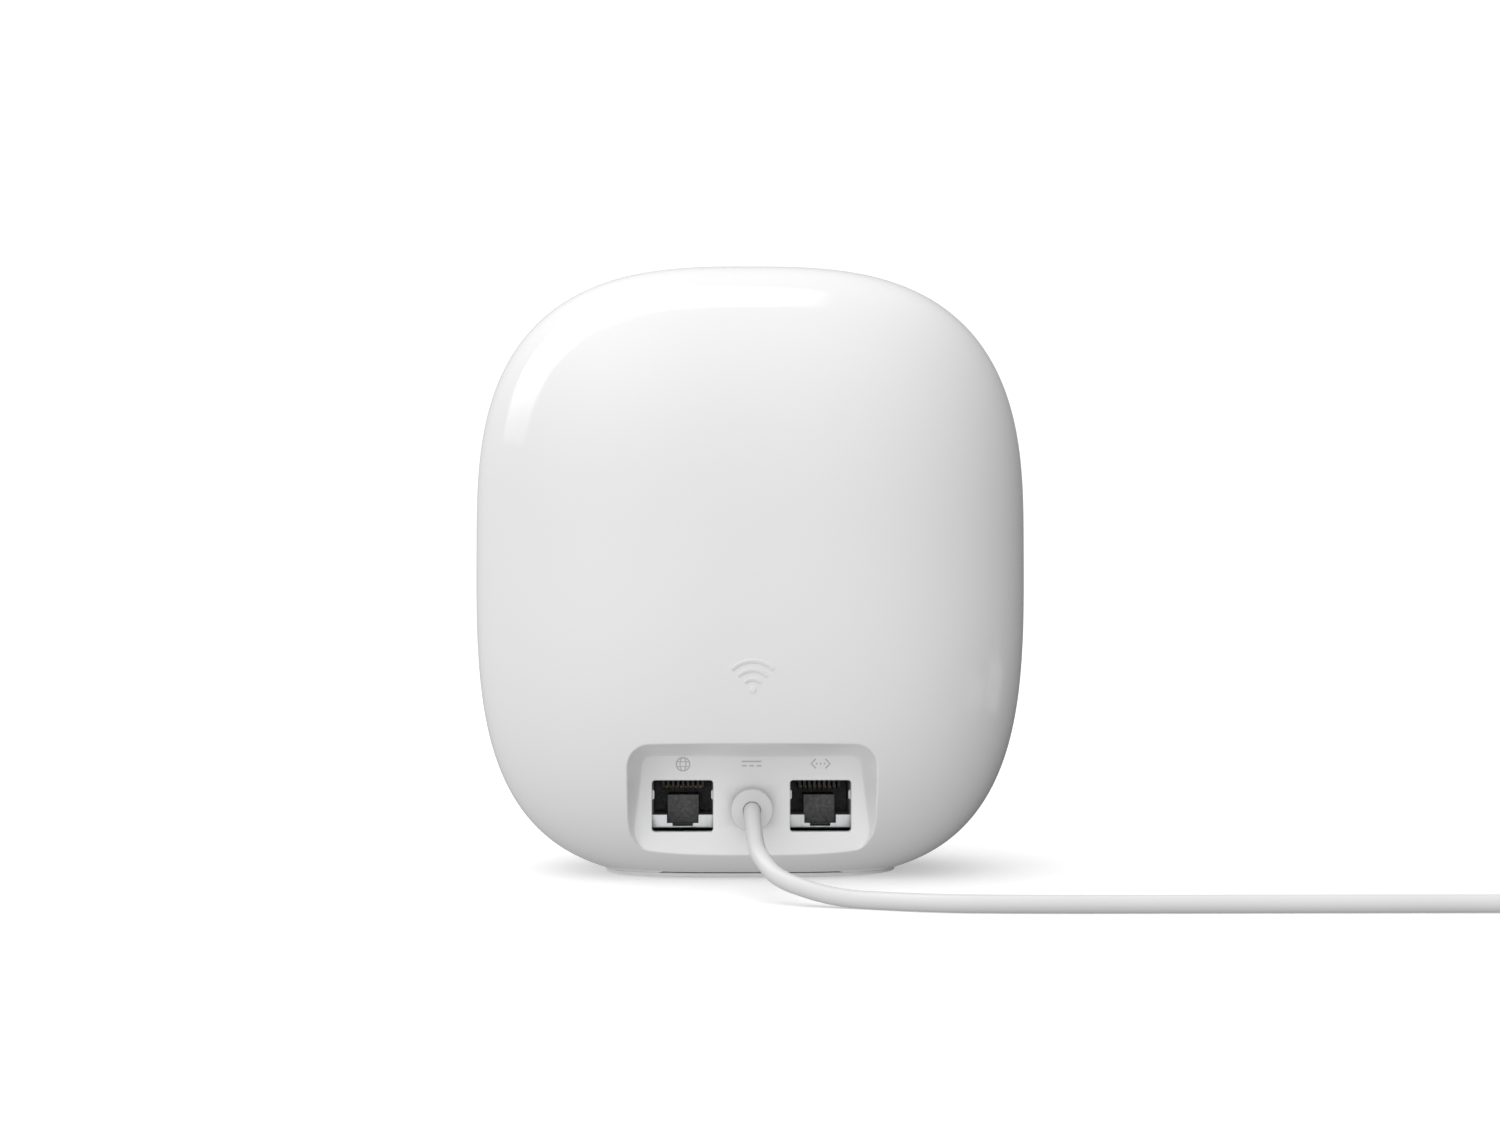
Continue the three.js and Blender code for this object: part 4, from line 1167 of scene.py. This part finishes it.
def ribbon(made, line, width, heights, place, closed=False):
    """A thin raised stroke along (x, z) points. place turns x, z and a height into a point."""
    line = np.asarray(line, float)
    side = normals(line, closed) * width / 2
    low, high = heights
    middle = (low + high) / 2
    section = [(-1, low), (-1, middle), (-0.7, high), (0.7, high), (1, middle), (1, low)]
    loops = [[place(*(p + s * across), height) for across, height in section] for p, s in zip(line, side)]
    if closed:
        loops.append(loops[0])
    made.loft(loops, capped=not closed)


def arc(x, z, radius, start, end, steps=24, squeeze=1.0):
    angles = np.radians(np.linspace(start, end, steps))
    return np.column_stack([x + squeeze * radius * np.cos(angles), z + radius * np.sin(angles)])


def on_floor(x, z, height):
    return (x, FLOOR_Y + height, z)


def on_case(x, z, height):
    return (x, surface_y(x, z) + height, z)


INK = (-0.02, 0.03)  # a printed stroke's lowest and highest surface above the recess's floor
SYMBOL_Z = 24.2
GLOBE_X = PORT_X - 0.1
GLOBE_Z = SYMBOL_Z - 0.1
GLOBE_RADIUS = 1.35


def make_symbols():
    # Strokes that cross are of different heights, so that their tops don't share a plane.
    globe = Parts()
    for squeeze, width, high in ((1.0, 0.28, 0.03), (0.45, 0.22, 0.024)):
        ring = arc(GLOBE_X, GLOBE_Z, GLOBE_RADIUS, 0, 360, 49, squeeze)[:-1]
        ribbon(globe, ring, width, (INK[0], high), on_floor, closed=True)
    for height in (-0.5, 0.5):
        half = math.sqrt(GLOBE_RADIUS ** 2 - height ** 2)
        bar = [(GLOBE_X - half, GLOBE_Z + height), (GLOBE_X + half, GLOBE_Z + height)]
        ribbon(globe, bar, 0.2, (INK[0], 0.018), on_floor)

    current = Parts()
    for x, half, z in ((0, 2, 0.47), (-1.5, 0.48, -0.43), (0, 0.48, -0.43), (1.5, 0.48, -0.43)):
        ribbon(current, [(x - half, SYMBOL_Z + z), (x + half, SYMBOL_Z + z)], 0.27, INK, on_floor)

    network = Parts()
    for side in (-1, 1):
        x = side * 1.0 - PORT_X
        arms = [(x, SYMBOL_Z + 0.95), (x + side * 0.9, SYMBOL_Z), (x, SYMBOL_Z - 0.95)]
        ribbon(network, arms, 0.32, INK, on_floor)
    for x in (-0.82, 0, 0.82):
        profile = [(0.19, FLOOR_Y + height) for height in INK]
        network.loft(turned(profile, (x - PORT_X, 0, SYMBOL_Z), "Y", 16))

    for name, made in (("symbol_globe", globe), ("symbol_current", current), ("symbol_network", network)):
        made.piece(name, material="printed_grey", slot="case_white")


def make_mark():
    """A small raised signal symbol on the back: three arcs over a dot."""
    made = Parts()
    foot = 39.6
    heights = (-0.15, 0.14)
    for radius in (2.2, 4.0, 5.8):
        ribbon(made, arc(0, foot, radius, 45, 135, 20), 0.85, heights, on_case)
    loops = []
    for radius, height in ((0.75, heights[0]), (0.75, heights[1] / 2), (0.5, heights[1])):
        ring = arc(0, foot + 0.2, radius, 0, 360, 25)[:-1]
        loops.append([on_case(x, z, height) for x, z in ring])
    made.loft(loops)
    made.piece("signal_mark", slot="case_white", smooth=50)


make_symbols()
make_mark()

# ---- Floor, light and backdrop ----

FLOOR_GLOW = 0.24  # what the floor shines by itself, so that only close shadows show on it

# Soft light all round, in wide patches: the direction each comes from, how narrow it is, its strength.
SKY = [
    ((1, 0, 0), 2, 0.25),
    ((0, 1, 0.17), 2, 1.0),
    ((0, 0, 1), 2, 1.12),
    ((0, 0, -1), 2, 0.27),
    ((1, -1, 0.1), 3, 0.6),
    ((0, -1, 1), 3, 0.45),
    ((1, 0, 1), 6, 0.25),
    ((0.6, 0.8, 1), 6, 0.8),
    ((1, 0.3, -1), 3, 0.28),
    ((0, 1, -1), 3, 0.24),
]


FLOOR_SIZE = 6  # metres from its middle to each side

SOFTBOX_SIZE = (0.5, 1.88)
SOFTBOX_PLACE = (0.4, -0.16, 1.01)
SOFTBOX_POWER = 5.0 * math.pi  # watts for each square metre
SEEN_WHITE = 1.1  # how bright the backdrop is for the camera


def make_floor():
    mesh = bpy.data.meshes.new("floor")
    corners = [(x * FLOOR_SIZE, y * FLOOR_SIZE, 0) for x, y in ((-1, -1), (1, -1), (1, 1), (-1, 1))]
    mesh.from_pydata(corners, [], [(0, 1, 2, 3)])
    floor = linked("floor", mesh)
    s = Shader("floor_white", 0.9, specular_ior_level=0.1)
    s.shader.inputs["Base Color"].default_value = (0.9, 0.9, 0.9, 1)
    s.shader.inputs["Emission Color"].default_value = (1, 1, 1, 1)
    s.shader.inputs["Emission Strength"].default_value = FLOOR_GLOW
    mesh.materials.append(s.material)
    floor.visible_diffuse = False
    floor.visible_glossy = False
    floor.visible_shadow = False


def make_softbox():
    """The long light that shows only as a bright band on the shoulder. The sky gives the other light."""
    data = bpy.data.lights.new("softbox", "AREA")
    data.shape = "RECTANGLE"
    data.size, data.size_y = SOFTBOX_SIZE
    data.energy = SOFTBOX_POWER * data.size * data.size_y
    light = linked("softbox", data)
    light.location = SOFTBOX_PLACE
    away = Vector((1, 0, 1)).normalized()
    across = Vector((0, 1, 0))
    light.rotation_euler = Matrix((across, away.cross(across), away)).transposed().to_euler()
    light.visible_diffuse = False
    light.visible_camera = False
    data.use_nodes = True
    tree = data.node_tree
    ends = tree.nodes.new("ShaderNodeSeparateXYZ")
    tree.links.new(tree.nodes.new("ShaderNodeTexCoord").outputs["UV"], ends.inputs["Vector"])
    fade = tree.nodes.new("ShaderNodeValToRGB")
    fade.color_ramp.interpolation = "EASE"
    fade.color_ramp.elements[0].color = (0.15, 0.15, 0.15, 1)
    fade.color_ramp.elements[1].color = (0.1, 0.1, 0.1, 1)
    for at in (0.3, 0.75):
        fade.color_ramp.elements.new(at).color = (1, 1, 1, 1)
    tree.links.new(ends.outputs["Y"], fade.inputs["Fac"])
    tree.links.new(fade.outputs["Color"], tree.nodes["Emission"].inputs["Color"])


def make_sky():
    world = bpy.data.worlds.new("studio")
    bpy.context.scene.world = world
    world.use_nodes = True
    tree = world.node_tree

    def math_node(operation, first, second):
        made = tree.nodes.new("ShaderNodeMath")
        made.operation = operation
        for socket, value in zip(made.inputs, (first, second)):
            if isinstance(value, (int, float)):
                socket.default_value = value
            else:
                tree.links.new(value, socket)
        return made.outputs["Value"]

    direction = tree.nodes.new("ShaderNodeTexCoord").outputs["Generated"]
    total = 0.0
    for towards, power, strength in SKY:
        facing = tree.nodes.new("ShaderNodeVectorMath")
        facing.operation = "DOT_PRODUCT"
        tree.links.new(direction, facing.inputs[0])
        facing.inputs[1].default_value = Vector(towards).normalized()
        patch = math_node("POWER", math_node("MAXIMUM", facing.outputs["Value"], 0.0), float(power))
        total = math_node("ADD", math_node("MULTIPLY", patch, strength), total)
    seen = tree.nodes.new("ShaderNodeLightPath").outputs["Is Camera Ray"]
    total = math_node("MAXIMUM", total, math_node("MULTIPLY", seen, SEEN_WHITE))
    background = tree.nodes["Background"]
    background.inputs["Color"].default_value = (1, 1, 1, 1)
    tree.links.new(total, background.inputs["Strength"])


make_floor()
make_sky()
make_softbox()

bpy.context.scene.view_settings.view_transform = "Standard"
bpy.context.scene.view_settings.look = "None"
